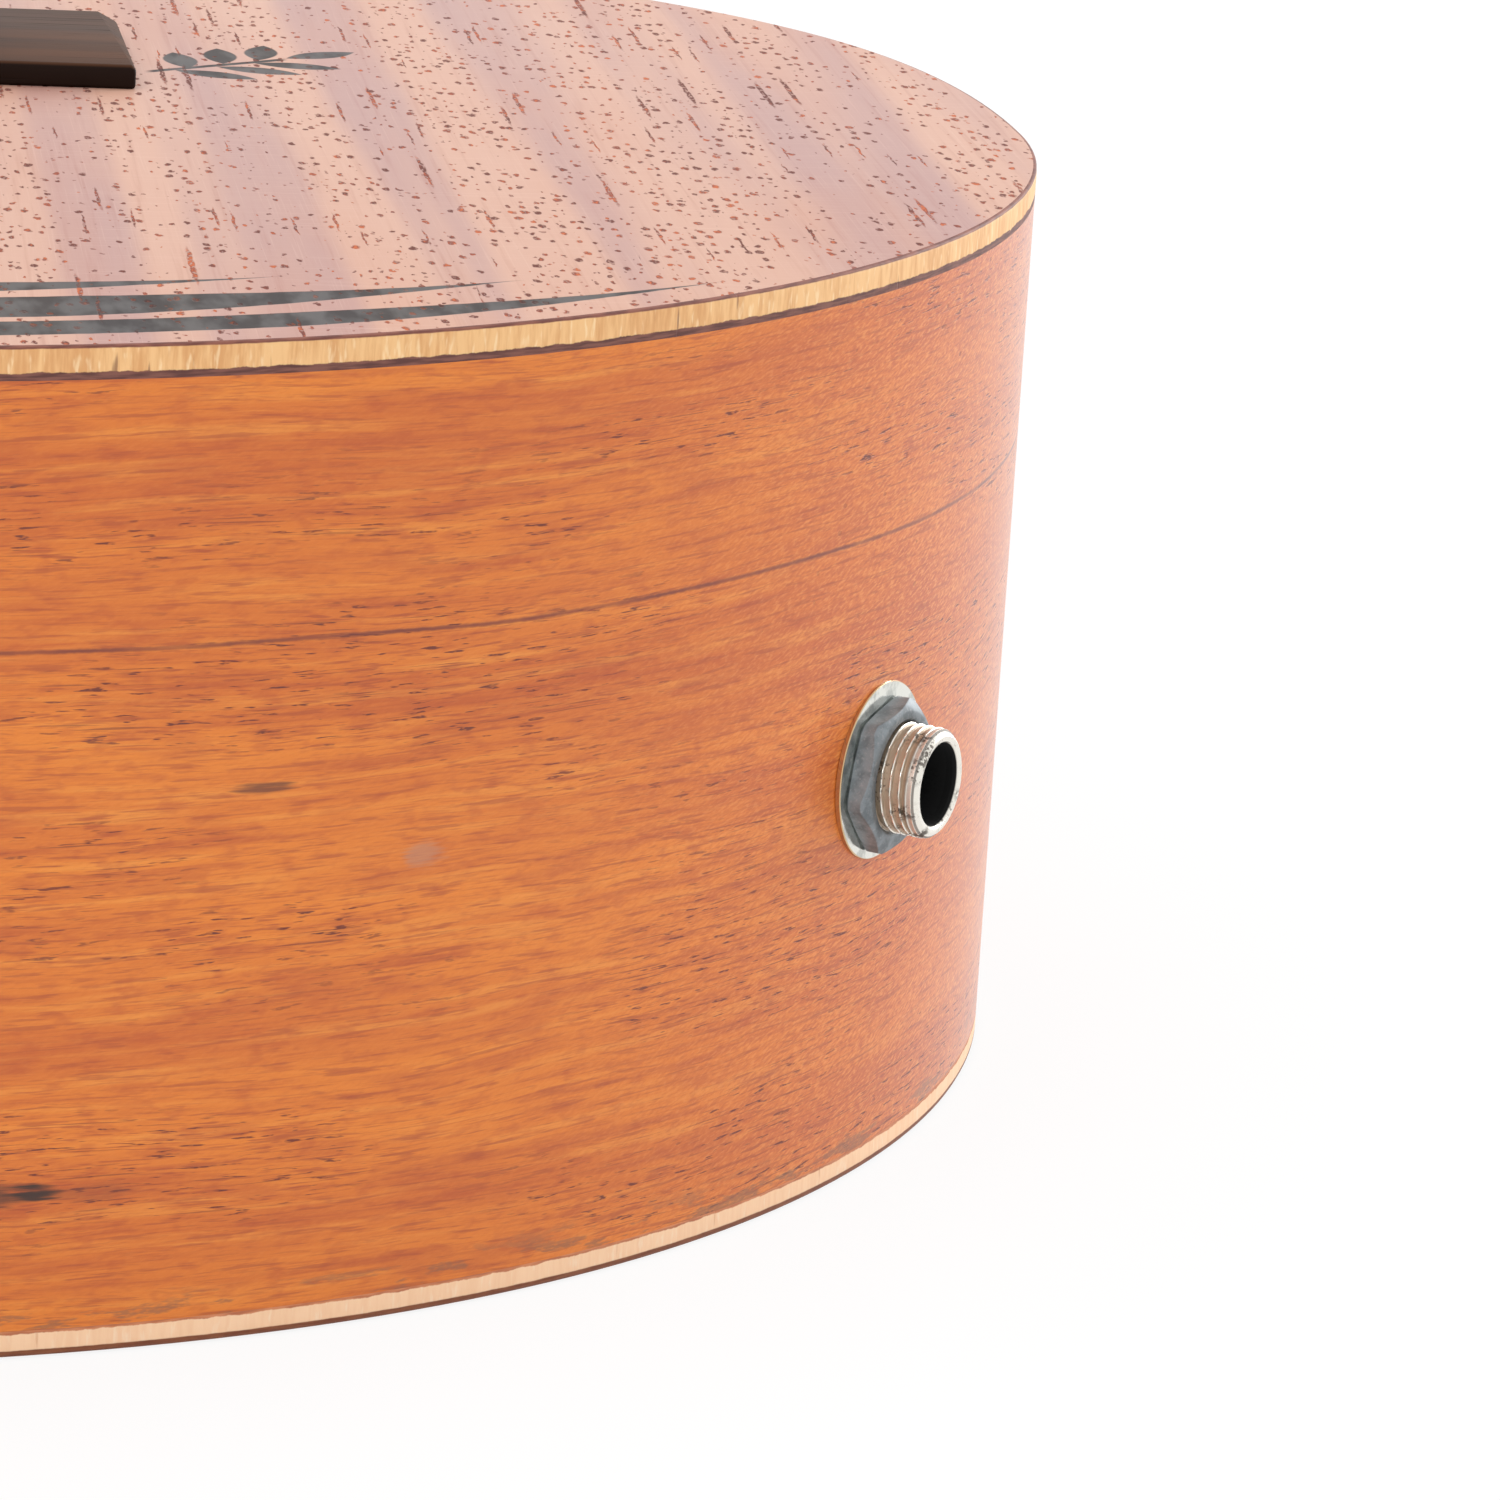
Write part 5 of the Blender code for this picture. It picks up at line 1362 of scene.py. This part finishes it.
def headHalfAt(place):
    form = headForm
    crownStart = form["length"] - form["crown"]
    share = min(1.0, place / form["flare"])
    flare = share * share * (3 - 2 * share)
    taper = form["taper"] * max(0.0, min(place, crownStart) - form["flare"]) / (crownStart - form["flare"])
    return boardForm["halfAtNut"] + (form["halfWidth"] - boardForm["halfAtNut"]) * flare - taper


def tunerPlaces():
    # name, side and place of each machine, bass to treble
    near, far = headForm["places"]
    found = []
    for name, hand, along in (("4", -1, near), ("3", -1, far), ("2", 1, far), ("1", 1, near)):
        found.append((name, hand, Vector((hand * (headHalfAt(along) - headForm["postFromEdge"]), along, 0))))
    return found


neckForm = {
    "depthAtNut": 0.0125,
    "depthAtHeel": 0.015,
    "heelDepth": 0.058,
    "heelLength": 0.046,
    "heelCap": 0.006,
    "heelFullness": 2.5,
    "fullness": 2.1,
    "corner": 0.0025,
    "across": 42,
    "crownFullness": 2.7,
    "atNutSquareness": 0.15,
    "dowelRadius": 0.0043,
    "dowelDepth": 0.0123,
    "dowelFromTop": 0.0155,
    "overlayFoot": 0.00004,
}


def slabPoint(share, halfWidth, depth):
    # half a slab with a round lower corner, from its upper edge to the middle
    corner = min(neckForm["corner"], 0.8 * halfWidth)
    step = share * 7
    if step <= 2:
        return halfWidth, (corner - depth) * step / 2
    if step <= 6:
        angle = math.pi / 8 * (step - 2)
        return halfWidth - corner + corner * math.cos(angle), corner - depth - corner * math.sin(angle)
    return (halfWidth - corner) * (7 - step), -depth


def neckSection(halfWidth, depth, squareness, fullness):
    # flat on top: round where the hand goes, a slab at the headstock
    count = neckForm["across"]
    points = []
    for i in range(count + 1):
        angle = math.pi * i / count
        side = 1 if 2 * i <= count else -1
        roundX = halfWidth * abs(math.cos(angle)) ** (2 / fullness)
        roundZ = -depth * math.sin(angle) ** (2 / fullness) if 0 < i < count else 0.0
        slabX, slabZ = slabPoint(1 - abs(1 - 2 * i / count), halfWidth, depth)
        points.append((side * (roundX + (slabX - roundX) * squareness), roundZ + (slabZ - roundZ) * squareness))
    return points


def headStations():
    # places along the headstock with half its width: flare, taper and round crown
    form = headForm
    crownStart = form["length"] - form["crown"]
    places = [form["flare"] * i / 18 for i in range(1, 19)]
    places += [form["flare"] + (crownStart - form["flare"]) * i / 6 for i in range(1, 7)]
    stations = [(place, headHalfAt(place)) for place in places]
    for i in range(1, 22):
        angle = math.radians(4 * i)
        place = crownStart + form["crown"] * math.sin(angle) ** (2 / neckForm["crownFullness"])
        stations.append((place, headHalfAt(crownStart) * math.cos(angle) ** (2 / neckForm["crownFullness"])))
    return stations


def neckRings():
    form = neckForm
    join, nutFront, top, tilt = bodyForm["joinY"], stringForm["nutFront"], bodyForm["depth"], headForm["tilt"]
    rings = []

    def ring(y, z, lean, *section):
        up = Vector((0, math.sin(lean), math.cos(lean)))
        rings.append([Vector((x, y, z)) + up * height for x, height in neckSection(*section)])

    ring(join + 0.0003, top, 0, boardForm["halfAtJoin"], form["heelDepth"], 0, form["heelFullness"])
    for i in range(25):
        share = i / 24
        y = join + form["heelLength"] - (form["heelLength"] - form["heelCap"]) * math.cos(math.pi / 2 * share)
        depth = form["heelDepth"] - (form["heelDepth"] - form["depthAtHeel"]) * math.sin(math.pi / 2 * share)
        ring(y, top, 0, boardHalf(y), depth, 0, form["heelFullness"] + (form["fullness"] - form["heelFullness"]) * share)
    start = join + form["heelLength"]
    end = boardForm["scale"] - boardForm["nutThickness"]
    for i in range(1, 9):
        y = start + (end - start) * i / 8
        depth = form["depthAtHeel"] + (form["depthAtNut"] - form["depthAtHeel"]) * (y - start) / (nutFront - start)
        ring(y, top, 0, boardHalf(y), depth, 0, form["fullness"])
    ring(nutFront, top, tilt / 2, boardForm["halfAtNut"], form["depthAtNut"] / math.cos(tilt / 2),
         form["atNutSquareness"], form["fullness"])
    for place, halfWidth in headStations():
        share = min(1.0, place / headForm["flare"])
        depth = form["depthAtNut"] + (headForm["thickness"] - form["depthAtNut"]) * share
        squareness = form["atNutSquareness"] + (1 - form["atNutSquareness"]) * share
        ring(nutFront + place * math.cos(tilt), top - place * math.sin(tilt), tilt, halfWidth, depth, squareness,
             form["fullness"])
    return rings


def postHoles(made, radius):
    for name, hand, place in tunerPlaces():
        shape = bmesh.new()
        lathe(shape, [(radius, -0.020), (radius, 0.010)], 48, headPlace @ Matrix.Translation(place))
        cutBy(made, shape, "holeTool" + name)


def makeNeck():
    form = neckForm
    hole = tunerForm["postRadius"] + 0.0003 + tunerForm["bushingWall"] + 0.0001
    shape = bmesh.new()
    loftRings(shape, neckRings())
    bmesh.ops.recalc_face_normals(shape, faces=shape.faces)
    made = rawPiece("neckWood", shape)
    postHoles(made, hole)
    shape = bmesh.new()
    z = bodyForm["depth"] - form["dowelFromTop"]
    place = Matrix.Translation((0, bodyForm["joinY"], z)) @ Matrix.Rotation(-math.pi / 2, 4, "X")
    lathe(shape, [(form["dowelRadius"], -0.004), (form["dowelRadius"], form["dowelDepth"])], 32, place)
    cutBy(made, shape, "dowelTool")
    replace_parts(settled(made, ["neck"], angle=32), "neck")
    stations = [(0.0003, boardForm["halfAtNut"])] + headStations()
    outline = [(width, place) for place, width in stations]
    outline += [(-x, y) for x, y in outline[::-1]]
    shape = bmesh.new()
    loftRings(shape, [[headPlace @ Vector((x, y, z)) for x, y in outline]
                      for z in (form["overlayFoot"], headForm["overlayTop"])])
    bmesh.ops.recalc_face_normals(shape, faces=shape.faces)
    made = bevelled(rawPiece("headVeneer", shape), 0.0003, 3, 50)
    postHoles(made, hole)
    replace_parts(settled(made, ["overlay"], angle=32), "headstock_overlay")


makeNeck()
print("neck and overlay made")


def windingRadius(number):
    return tunerForm["postRadius"] - tunerForm["postWaist"] + stringForm["diameters"][number] / 2 + 0.00003


def holeAngle(number):
    # the direction in which a post's string hole faces
    _, hand, place = tunerPlaces()[number]
    way = Vector((stringX(number, stringForm["nutSpread"]), 0)) - place.to_2d()
    radius = tunerForm["postRadius"] + 0.0003 + stringForm["diameters"][number] / 2
    return math.atan2(way.y, way.x) - hand * math.acos(radius / way.length)


def makePost(number, name, place):
    form = tunerForm
    top = headForm["overlayTop"] + form["postAbove"]
    hole = headForm["overlayTop"] + form["holeAbove"]
    radius, waist = form["postRadius"], form["postRadius"] - form["postWaist"]
    shoulder = form["plateTop"] + 0.0005
    profile = [(0.0001, gearBottom + 0.0003), (0.0016, gearBottom + 0.0003), (0.0016, form["plateBottom"] - 0.0003),
               (form["journal"], form["plateBottom"] - 0.0003), (form["journal"], shoulder), (radius - 0.0001, shoulder),
               (radius, shoulder + 0.0001), (radius, form["bushingTop"] + 0.0003), (waist, form["bushingTop"] + 0.0008)]
    for i in range(1, 8):
        share = i / 7
        profile.append((waist, form["bushingTop"] + 0.0008 + (hole + 0.002 - form["bushingTop"] - 0.0008) * share))
    profile += [(radius, hole + 0.0025), (radius, top - 0.0006)]
    for i in range(1, 6):
        angle = math.pi / 2 * i / 5
        profile.append((radius - 0.0006 * (1 - math.cos(angle)), top - 0.0006 + 0.0006 * math.sin(angle)))
    profile += [(radius * 0.4, top), (0.0001, top)]
    matrix = headPlace @ Matrix.Translation(place) @ Matrix.Rotation(holeAngle(number), 4, "Z")
    shape = bmesh.new()
    lathe(shape, profile, 48, matrix)
    post = rawPiece("stringPost" + name, shape)
    drill = bmesh.new()
    across = matrix @ Matrix.Translation((-0.005, 0, hole)) @ Matrix.Rotation(math.pi / 2, 4, "Y")
    lathe(drill, [(form["holeRadius"], 0.0), (form["holeRadius"], 0.01)], 24, across)
    cutBy(post, drill)
    settled(post, ["tuner_steel"], "post_" + name, 32)
    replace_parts(post, "string_post_" + name)


def makeBushing(name, place):
    form = tunerForm
    bore = form["postRadius"] + 0.0003
    outer = bore + form["bushingWall"]
    flange = outer + form["flangeWidth"]
    seat, top = headForm["overlayTop"], form["bushingTop"]
    profile = [(bore, seat - 0.006), (outer, seat - 0.006), (outer, seat), (flange, seat), (flange, seat + 0.0004),
               (flange - 0.0001, seat + 0.0006), (flange - 0.0005, top - 0.0001), (flange - 0.0008, top), (bore + 0.0002, top),
               (bore, top - 0.0002), (bore, seat - 0.006)]
    shape = bmesh.new()
    matrix = headPlace @ Matrix.Translation(place)
    rings = []
    for radius, height in profile:
        rings.append([matrix @ Vector((radius * math.cos(2 * math.pi * i / 48), radius * math.sin(2 * math.pi * i / 48),
                                       height)) for i in range(48)])
    loftRings(shape, rings, caps=False)
    bmesh.ops.remove_doubles(shape, verts=shape.verts, dist=1e-7)
    bmesh.ops.recalc_face_normals(shape, faces=shape.faces)
    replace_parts(finishMesh("postBushing" + name, shape, ["tuner_steel"], angle=40), "post_bushing_" + name)


def makeWorm(name, hand, place):
    form = tunerForm
    matrix = headPlace @ Matrix.Translation(place + Vector((0, -wormOffset, wormLevel)))
    matrix = matrix @ Matrix.Rotation(hand * math.pi / 2, 4, "Y")
    shaft, tip = form["shaftRadius"], form["wormRadius"] + form["toothHeight"]
    slope = math.tan(math.radians(20))
    halfThread = form["wormTurns"] / 2 * wormLead

    def threadRadius(angle, height):
        turns = (angle - math.pi / 2) / (hand * 2 * math.pi) + 0.5
        off = abs((height / wormLead - turns + 0.5) % 1.0 - 0.5) * wormLead
        fade = min(1.0, max(0.0, (halfThread - abs(height)) / (0.35 * wormLead)))
        full = form["wormRadius"] + (form["toothThickness"] / 2 - off) / slope
        return max(shaft, min(tip, full, shaft + (tip - shaft) * fade))

    collar = form["plateHalf"] + 0.0003
    outer, thick = form["collarRadius"], form["collarThickness"]
    end = headForm["postFromEdge"] + form["buttonFromEdge"] + 0.0077
    profile = [(0.0001, -collar - thick), (outer - 0.0002, -collar - thick), (outer, -collar - thick + 0.0002),
               (outer, -collar), (shaft, -collar), (shaft, -halfThread - 0.0001)]
    profile += [(None, -halfThread + 2 * halfThread * row / 130) for row in range(131)]
    profile += [(shaft, halfThread + 0.0001), (shaft, collar), (outer, collar), (outer, collar + thick - 0.0002),
                (outer - 0.0002, collar + thick), (shaft, collar + thick), (shaft, end), (0.0001, end)]
    shape = bmesh.new()
    lathe(shape, profile, 48, matrix, threadRadius)
    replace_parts(finishMesh("wormShaft" + name, shape, ["tuner_steel"], "worm_" + name, 30),
                "worm_shaft_" + name)


def swellAt(share):
    # a button's width at a share of its length, smoothed between the given sizes
    swell = tunerForm["buttonSwell"]
    for (low, first), (high, second) in zip(swell, swell[1:]):
        if share <= high:
            part = (share - low) / (high - low)
            return first + (second - first) * part
    return swell[-1][1]


def makeButton(name, hand, place):
    form = tunerForm
    matrix = headPlace @ Matrix.Translation(place + Vector((0, -wormOffset, wormLevel)))
    matrix = matrix @ Matrix.Rotation(hand * math.pi / 2, 4, "Y")
    start = headForm["postFromEdge"] + form["buttonFromEdge"]
    steps = 40
    sizes = [swellAt(i / steps) for i in range(steps + 1)]
    for _ in range(3):
        sizes = [sizes[0]] + [(a + b + c) / 3 for a, b, c in zip(sizes, sizes[1:], sizes[2:])] + [sizes[-1]]
    rings = []
    for i, size in enumerate(sizes):
        share = i / steps
        ring = []
        for k in range(36):
            angle = 2 * math.pi * k / 36
            x = form["buttonHalfThickness"] * min(1.0, size + 0.08) * math.cos(angle)
            y = form["buttonHalfWidth"] * size * math.sin(angle)
            ring.append(matrix @ Vector((x, y, start + share * form["buttonLength"])))
        rings.append(ring)
    shape = bmesh.new()
    loftRings(shape, rings)
    bmesh.ops.recalc_face_normals(shape, faces=shape.faces)
    button = bevelled(rawPiece("tunerButton" + name, shape), 0.0006, 4, 40)
    drill = bmesh.new()
    lathe(drill, [(form["shaftRadius"] + 0.00005, start - 0.001), (form["shaftRadius"] + 0.00005, start + 0.0079)], 32, matrix)
    cutBy(button, drill)
    settled(button, ["buttons"], "worm_" + name, 45)
    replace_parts(button, "tuner_button_" + name)


def makePlate(name, place):
    form = tunerForm
    matrix = headPlace @ Matrix.Translation(place)
    near, far, half = -wormOffset - form["platePastWorm"], form["platePastPost"], form["plateHalf"]
    outline = []
    for centreY, start in ((near + half, math.pi), (far - half, 0.0)):
        for i in range(17):
            angle = start + math.pi * i / 16
            outline.append((half * math.cos(angle), centreY + half * math.sin(angle)))
    shape = bmesh.new()
    loftRings(shape, [[matrix @ Vector((x, y, z)) for x, y in outline] for z in (form["plateBottom"], form["plateTop"] + 0.0003)])
    bmesh.ops.recalc_face_normals(shape, faces=shape.faces)
    base = bevelled(rawPiece("tunerPlate" + name, shape), 0.00018, 2, 40)
    drill = bmesh.new()
    lathe(drill, [(form["journal"] + 0.0003, -0.02), (form["journal"] + 0.0003, 0.0)], 32, matrix)
    cutBy(base, drill)
    settled(base, ["tuner_steel"], angle=35)
    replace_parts(base, "tuner_plate_" + name)
    root = form["plateBottom"] + 0.0003
    shape = bmesh.new()
    for side in (-1, 1):
        profile = [(-wormOffset - form["earHalf"], root), (-wormOffset + form["earHalf"], root)]
        for i in range(17):
            angle = math.pi * i / 16
            profile.append((-wormOffset + form["earHalf"] * math.cos(angle), wormLevel - form["earHalf"] * math.sin(angle)))
        loftRings(shape, [[matrix @ Vector((x, y, z)) for y, z in profile]
                          for x in (side * form["earInner"], side * form["plateHalf"])])
    bmesh.ops.recalc_face_normals(shape, faces=shape.faces)
    ears = bevelled(rawPiece("plateEars" + name, shape), 0.00015, 2, 40)
    drill = bmesh.new()
    axle = matrix @ Matrix.Translation((-0.01, -wormOffset, wormLevel)) @ Matrix.Rotation(math.pi / 2, 4, "Y")
    lathe(drill, [(form["shaftRadius"] + 0.0002, 0.0), (form["shaftRadius"] + 0.0002, 0.02)], 32, axle)
    cutBy(ears, drill)
    settled(ears, ["tuner_steel"], angle=35)


def makeScrews(name, place):
    # a cross-headed screw at each end of the plate, and a slotted one under the gear
    form = tunerForm
    near, far = -wormOffset - form["platePastWorm"], form["platePastPost"]
    for number, y in enumerate((near + form["screwFromEnd"], far - form["screwFromEnd"])):
        matrix = headPlace @ Matrix.Translation(place + Vector((0, y, form["plateBottom"]))) @ Matrix.Rotation(math.pi, 4, "X")
        profile = [(0.0001, -0.004), (0.0006, -0.0036), (0.0010, -0.0006), (0.0010, 0.0), (0.0019, 0.0), (0.0019, 0.0002)]
        for i in range(1, 9):
            angle = math.pi / 2 * i / 8
            profile.append((0.0019 * math.cos(angle) + 0.0001, 0.0002 + 0.0009 * math.sin(angle)))
        shape = bmesh.new()
        lathe(shape, profile, 32, matrix)
        screw = rawPiece("plateScrew" + name + "_" + str(number + 1), shape)
        for quarter in range(2):
            slot = bmesh.new()
            block(slot, (-0.0010, -0.00016, 0.0005 + 0.00004 * quarter), (0.0010, 0.00016, 0.002))
            slot.transform(matrix @ Matrix.Rotation(0.5 + number + math.pi / 2 * quarter, 4, "Z"))
            cutBy(screw, slot, "crossTool" + str(quarter))
        settled(screw, ["tuner_steel"], angle=30)
    matrix = headPlace @ Matrix.Translation(place + Vector((0, 0, gearBottom))) @ Matrix.Rotation(math.pi, 4, "X")
    shape = bmesh.new()
    lathe(shape, [(0.0001, -0.0035), (0.0009, -0.0035), (0.0009, 0.0), (0.0021, 0.0), (0.0021, 0.0006), (0.0020, 0.0008),
                  (0.0016, 0.0010), (0.0001, 0.0011)], 36, matrix)
    screw = rawPiece("gearScrew" + name, shape)
    slot = bmesh.new()
    block(slot, (-0.003, -0.0002, 0.0006), (0.003, 0.0002, 0.002))
    slot.transform(matrix @ Matrix.Rotation(0.7, 4, "Z"))
    cutBy(screw, slot)
    settled(screw, ["tuner_steel"], "post_" + name, 30)


for tunerNumber, (tunerName, tunerHand, tunerPlace) in enumerate(tunerPlaces()):
    makePost(tunerNumber, tunerName, tunerPlace)
    makeBushing(tunerName, tunerPlace)
    makeWorm(tunerName, tunerHand, tunerPlace)
    makeButton(tunerName, tunerHand, tunerPlace)
    makePlate(tunerName, tunerPlace)
    makeScrews(tunerName, tunerPlace)
print("tuning machines made")


# Strings

def knotPoints(centre, diameter):
    # a barrel knot: the end wraps round the string, then the string goes back through the wraps
    turns = stringForm["knotTurns"]
    pitch = diameter * 1.04
    radius = diameter * 1.02
    steps = 16
    points = [centre + Vector((radius * 1.6, -0.0002, radius * 1.9)), centre + Vector((radius * 1.15, -0.0001, radius * 0.9))]
    for i in range(turns * steps + 1):
        angle = 2 * math.pi * i / steps
        points.append(centre + Vector((radius * math.cos(angle), -diameter * 0.55 - pitch * i / steps, radius * math.sin(angle))))
    far = -diameter * 0.55 - pitch * turns
    for share, depth in ((0.7, 0.45), (0.3, 0.62), (0.05, 0.45)):
        angle = 2 * math.pi * (1 - share) * 0.45
        points.append(centre + Vector((radius * share * math.cos(angle), far - diameter * depth, radius * share * math.sin(angle))))
    return points + [centre + Vector((0, far * 0.5, 0)), centre]


def windingPoints(number):
    # in the head's frame: up round the post, then through its hole
    _, hand, place = tunerPlaces()[number]
    form = stringForm
    diameter = form["diameters"][number]
    radius = windingRadius(number)
    endAngle = holeAngle(number)
    startAngle = endAngle + hand * 2 * math.pi * form["turns"]
    hole = headForm["overlayTop"] + tunerForm["holeAbove"]
    rise = diameter * 1.06
    low = hole - rise * (form["turns"] + 0.7)
    lead = 5
    points = []
    for i in range(form["turns"] * form["loopPoints"] - lead + 1):
        share = i / form["loopPoints"]
        angle = startAngle - hand * 2 * math.pi * share
        points.append(place + Vector((radius * math.cos(angle), radius * math.sin(angle), low + rise * share)))
    along = (points[-1] - points[-2]).normalized()
    out = Vector((math.cos(endAngle), math.sin(endAngle), 0))
    mouth = place + out * (tunerForm["postRadius"] + diameter * 0.5) + Vector((0, 0, hole))
    reach = radius * 0.8
    points += interpolate_bezier(points[-1], points[-1] + along * reach, mouth + out * reach * 0.7, mouth, 12)[1:]
    points.append(place - out * (tunerForm["postRadius"] + form["stub"]) + Vector((0, 0, hole)))
    return points


def makeString(number, name):
    form = stringForm
    diameter = form["diameters"][number]
    half = diameter / 2
    bridgeX, nutX = stringX(number, form["saddleSpread"]), stringX(number, form["nutSpread"])
    saddleZ, nutZ = form["bottomAtSaddle"] + half, form["bottomAtNut"] + half
    back = bridgeForm["behind"]
    knot = knotPoints(Vector((bridgeX, back, form["exitHeight"])), diameter)
    winding = [headPlace @ point for point in windingPoints(number)]
    run = [
        knot[-1],
        Vector((bridgeX, back + 0.0012, form["exitHeight"] + half)),
        Vector((bridgeX, -0.0010, saddleZ - half * 0.6)),
        Vector((bridgeX, 0.0, saddleZ)),
        Vector((nutX, boardForm["scale"], nutZ)),
        Vector((nutX, form["nutFront"] - 0.0006, nutZ - 0.00004)),
        winding[0],
    ]
    points = knot[:-1] + eased(run, 0.0011)[:-1] + winding
    shape = bmesh.new()
    tube(shape, points, half, 12)
    bmesh.ops.recalc_face_normals(shape, faces=shape.faces)
    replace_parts(finishMesh("string" + name, shape, ["strings"], angle=60), "string_" + name)


for tunerNumber, (tunerName, _, _) in enumerate(tunerPlaces()):
    makeString(tunerNumber, tunerName)
print("strings made")


# Floor and light

lightForm = {
    "skyLevel": 0.80,
    "floorTone": (0.93, 0.93, 0.93, 1.0),
    "floorWhite": 0.86,
    # place, what it points at, size and power of each soft lamp
    "overhead": ((-0.3, 0.2, 1.6), (0, 0, 0.03), (1.6, 1.6), 10.0),
    "leftFront": ((-1.2, -1.4, 0.9), (0, 0, 0.03), (1.0, 1.0), 7.0),
    "rightBehind": ((1.25, 0.75, 0.45), (0.05, -0.05, 0.03), (0.9, 0.8), 12.0),
}


def brightRay(tree):
    # 1 for what the camera sees straight, in metal or through glass
    rays = [Wire(tree).node("ShaderNodeLightPath", output="Is " + kind + " Ray") for kind in ("Camera", "Glossy", "Transmission")]
    first = rays[0].math("MAXIMUM", rays[0], rays[1])
    return first.math("MAXIMUM", first, rays[2])


def makeFloor():
    shape = bmesh.new()
    bmesh.ops.create_circle(shape, cap_ends=True, segments=96, radius=12.0)
    floor = rawPiece("floor", shape)
    look = bpy.data.materials.new("floor")
    look.use_nodes = True
    tree = look.node_tree
    shader = tree.nodes["Principled BSDF"]
    shader.inputs["Base Color"].default_value = lightForm["floorTone"]
    shader.inputs["Roughness"].default_value = 0.9
    shader.inputs["Specular IOR Level"].default_value = 0.1
    white = tree.nodes.new("ShaderNodeEmission")
    blend = tree.nodes.new("ShaderNodeMixShader")
    tree.links.new((brightRay(tree) * lightForm["floorWhite"]).socket, blend.inputs[0])
    tree.links.new(shader.outputs[0], blend.inputs[1])
    tree.links.new(white.outputs[0], blend.inputs[2])
    tree.links.new(blend.outputs[0], tree.nodes["Material Output"].inputs["Surface"])
    floor.data.materials.append(look)
    floor.location.z = -0.00005


def makeWorld():
    world = bpy.data.worlds.new("studio")
    bpy.context.scene.world = world
    world.use_nodes = True
    tree = world.node_tree
    sky = tree.nodes["Background"]
    sky.inputs["Color"].default_value = (1, 1, 1, 1)
    level = smooth(brightRay(tree), 0.0, 1.0, lightForm["skyLevel"], 1.0)
    tree.links.new(level.socket, sky.inputs["Strength"])


def makeLamp(name):
    place, target, size, power = lightForm[name]
    data = bpy.data.lights.new(name, "AREA")
    data.shape = "RECTANGLE"
    data.size, data.size_y = size
    data.energy = power
    made = bpy.data.objects.new(name, data)
    made.location = place
    made.rotation_euler = (Vector(target) - Vector(place)).to_track_quat("-Z", "Y").to_euler()
    bpy.context.scene.collection.objects.link(made)


makeFloor()
makeWorld()
for lampName in ("overhead", "leftFront", "rightBehind"):
    makeLamp(lampName)
bpy.context.scene.view_settings.view_transform = "Standard"
print("floor and lamps made")
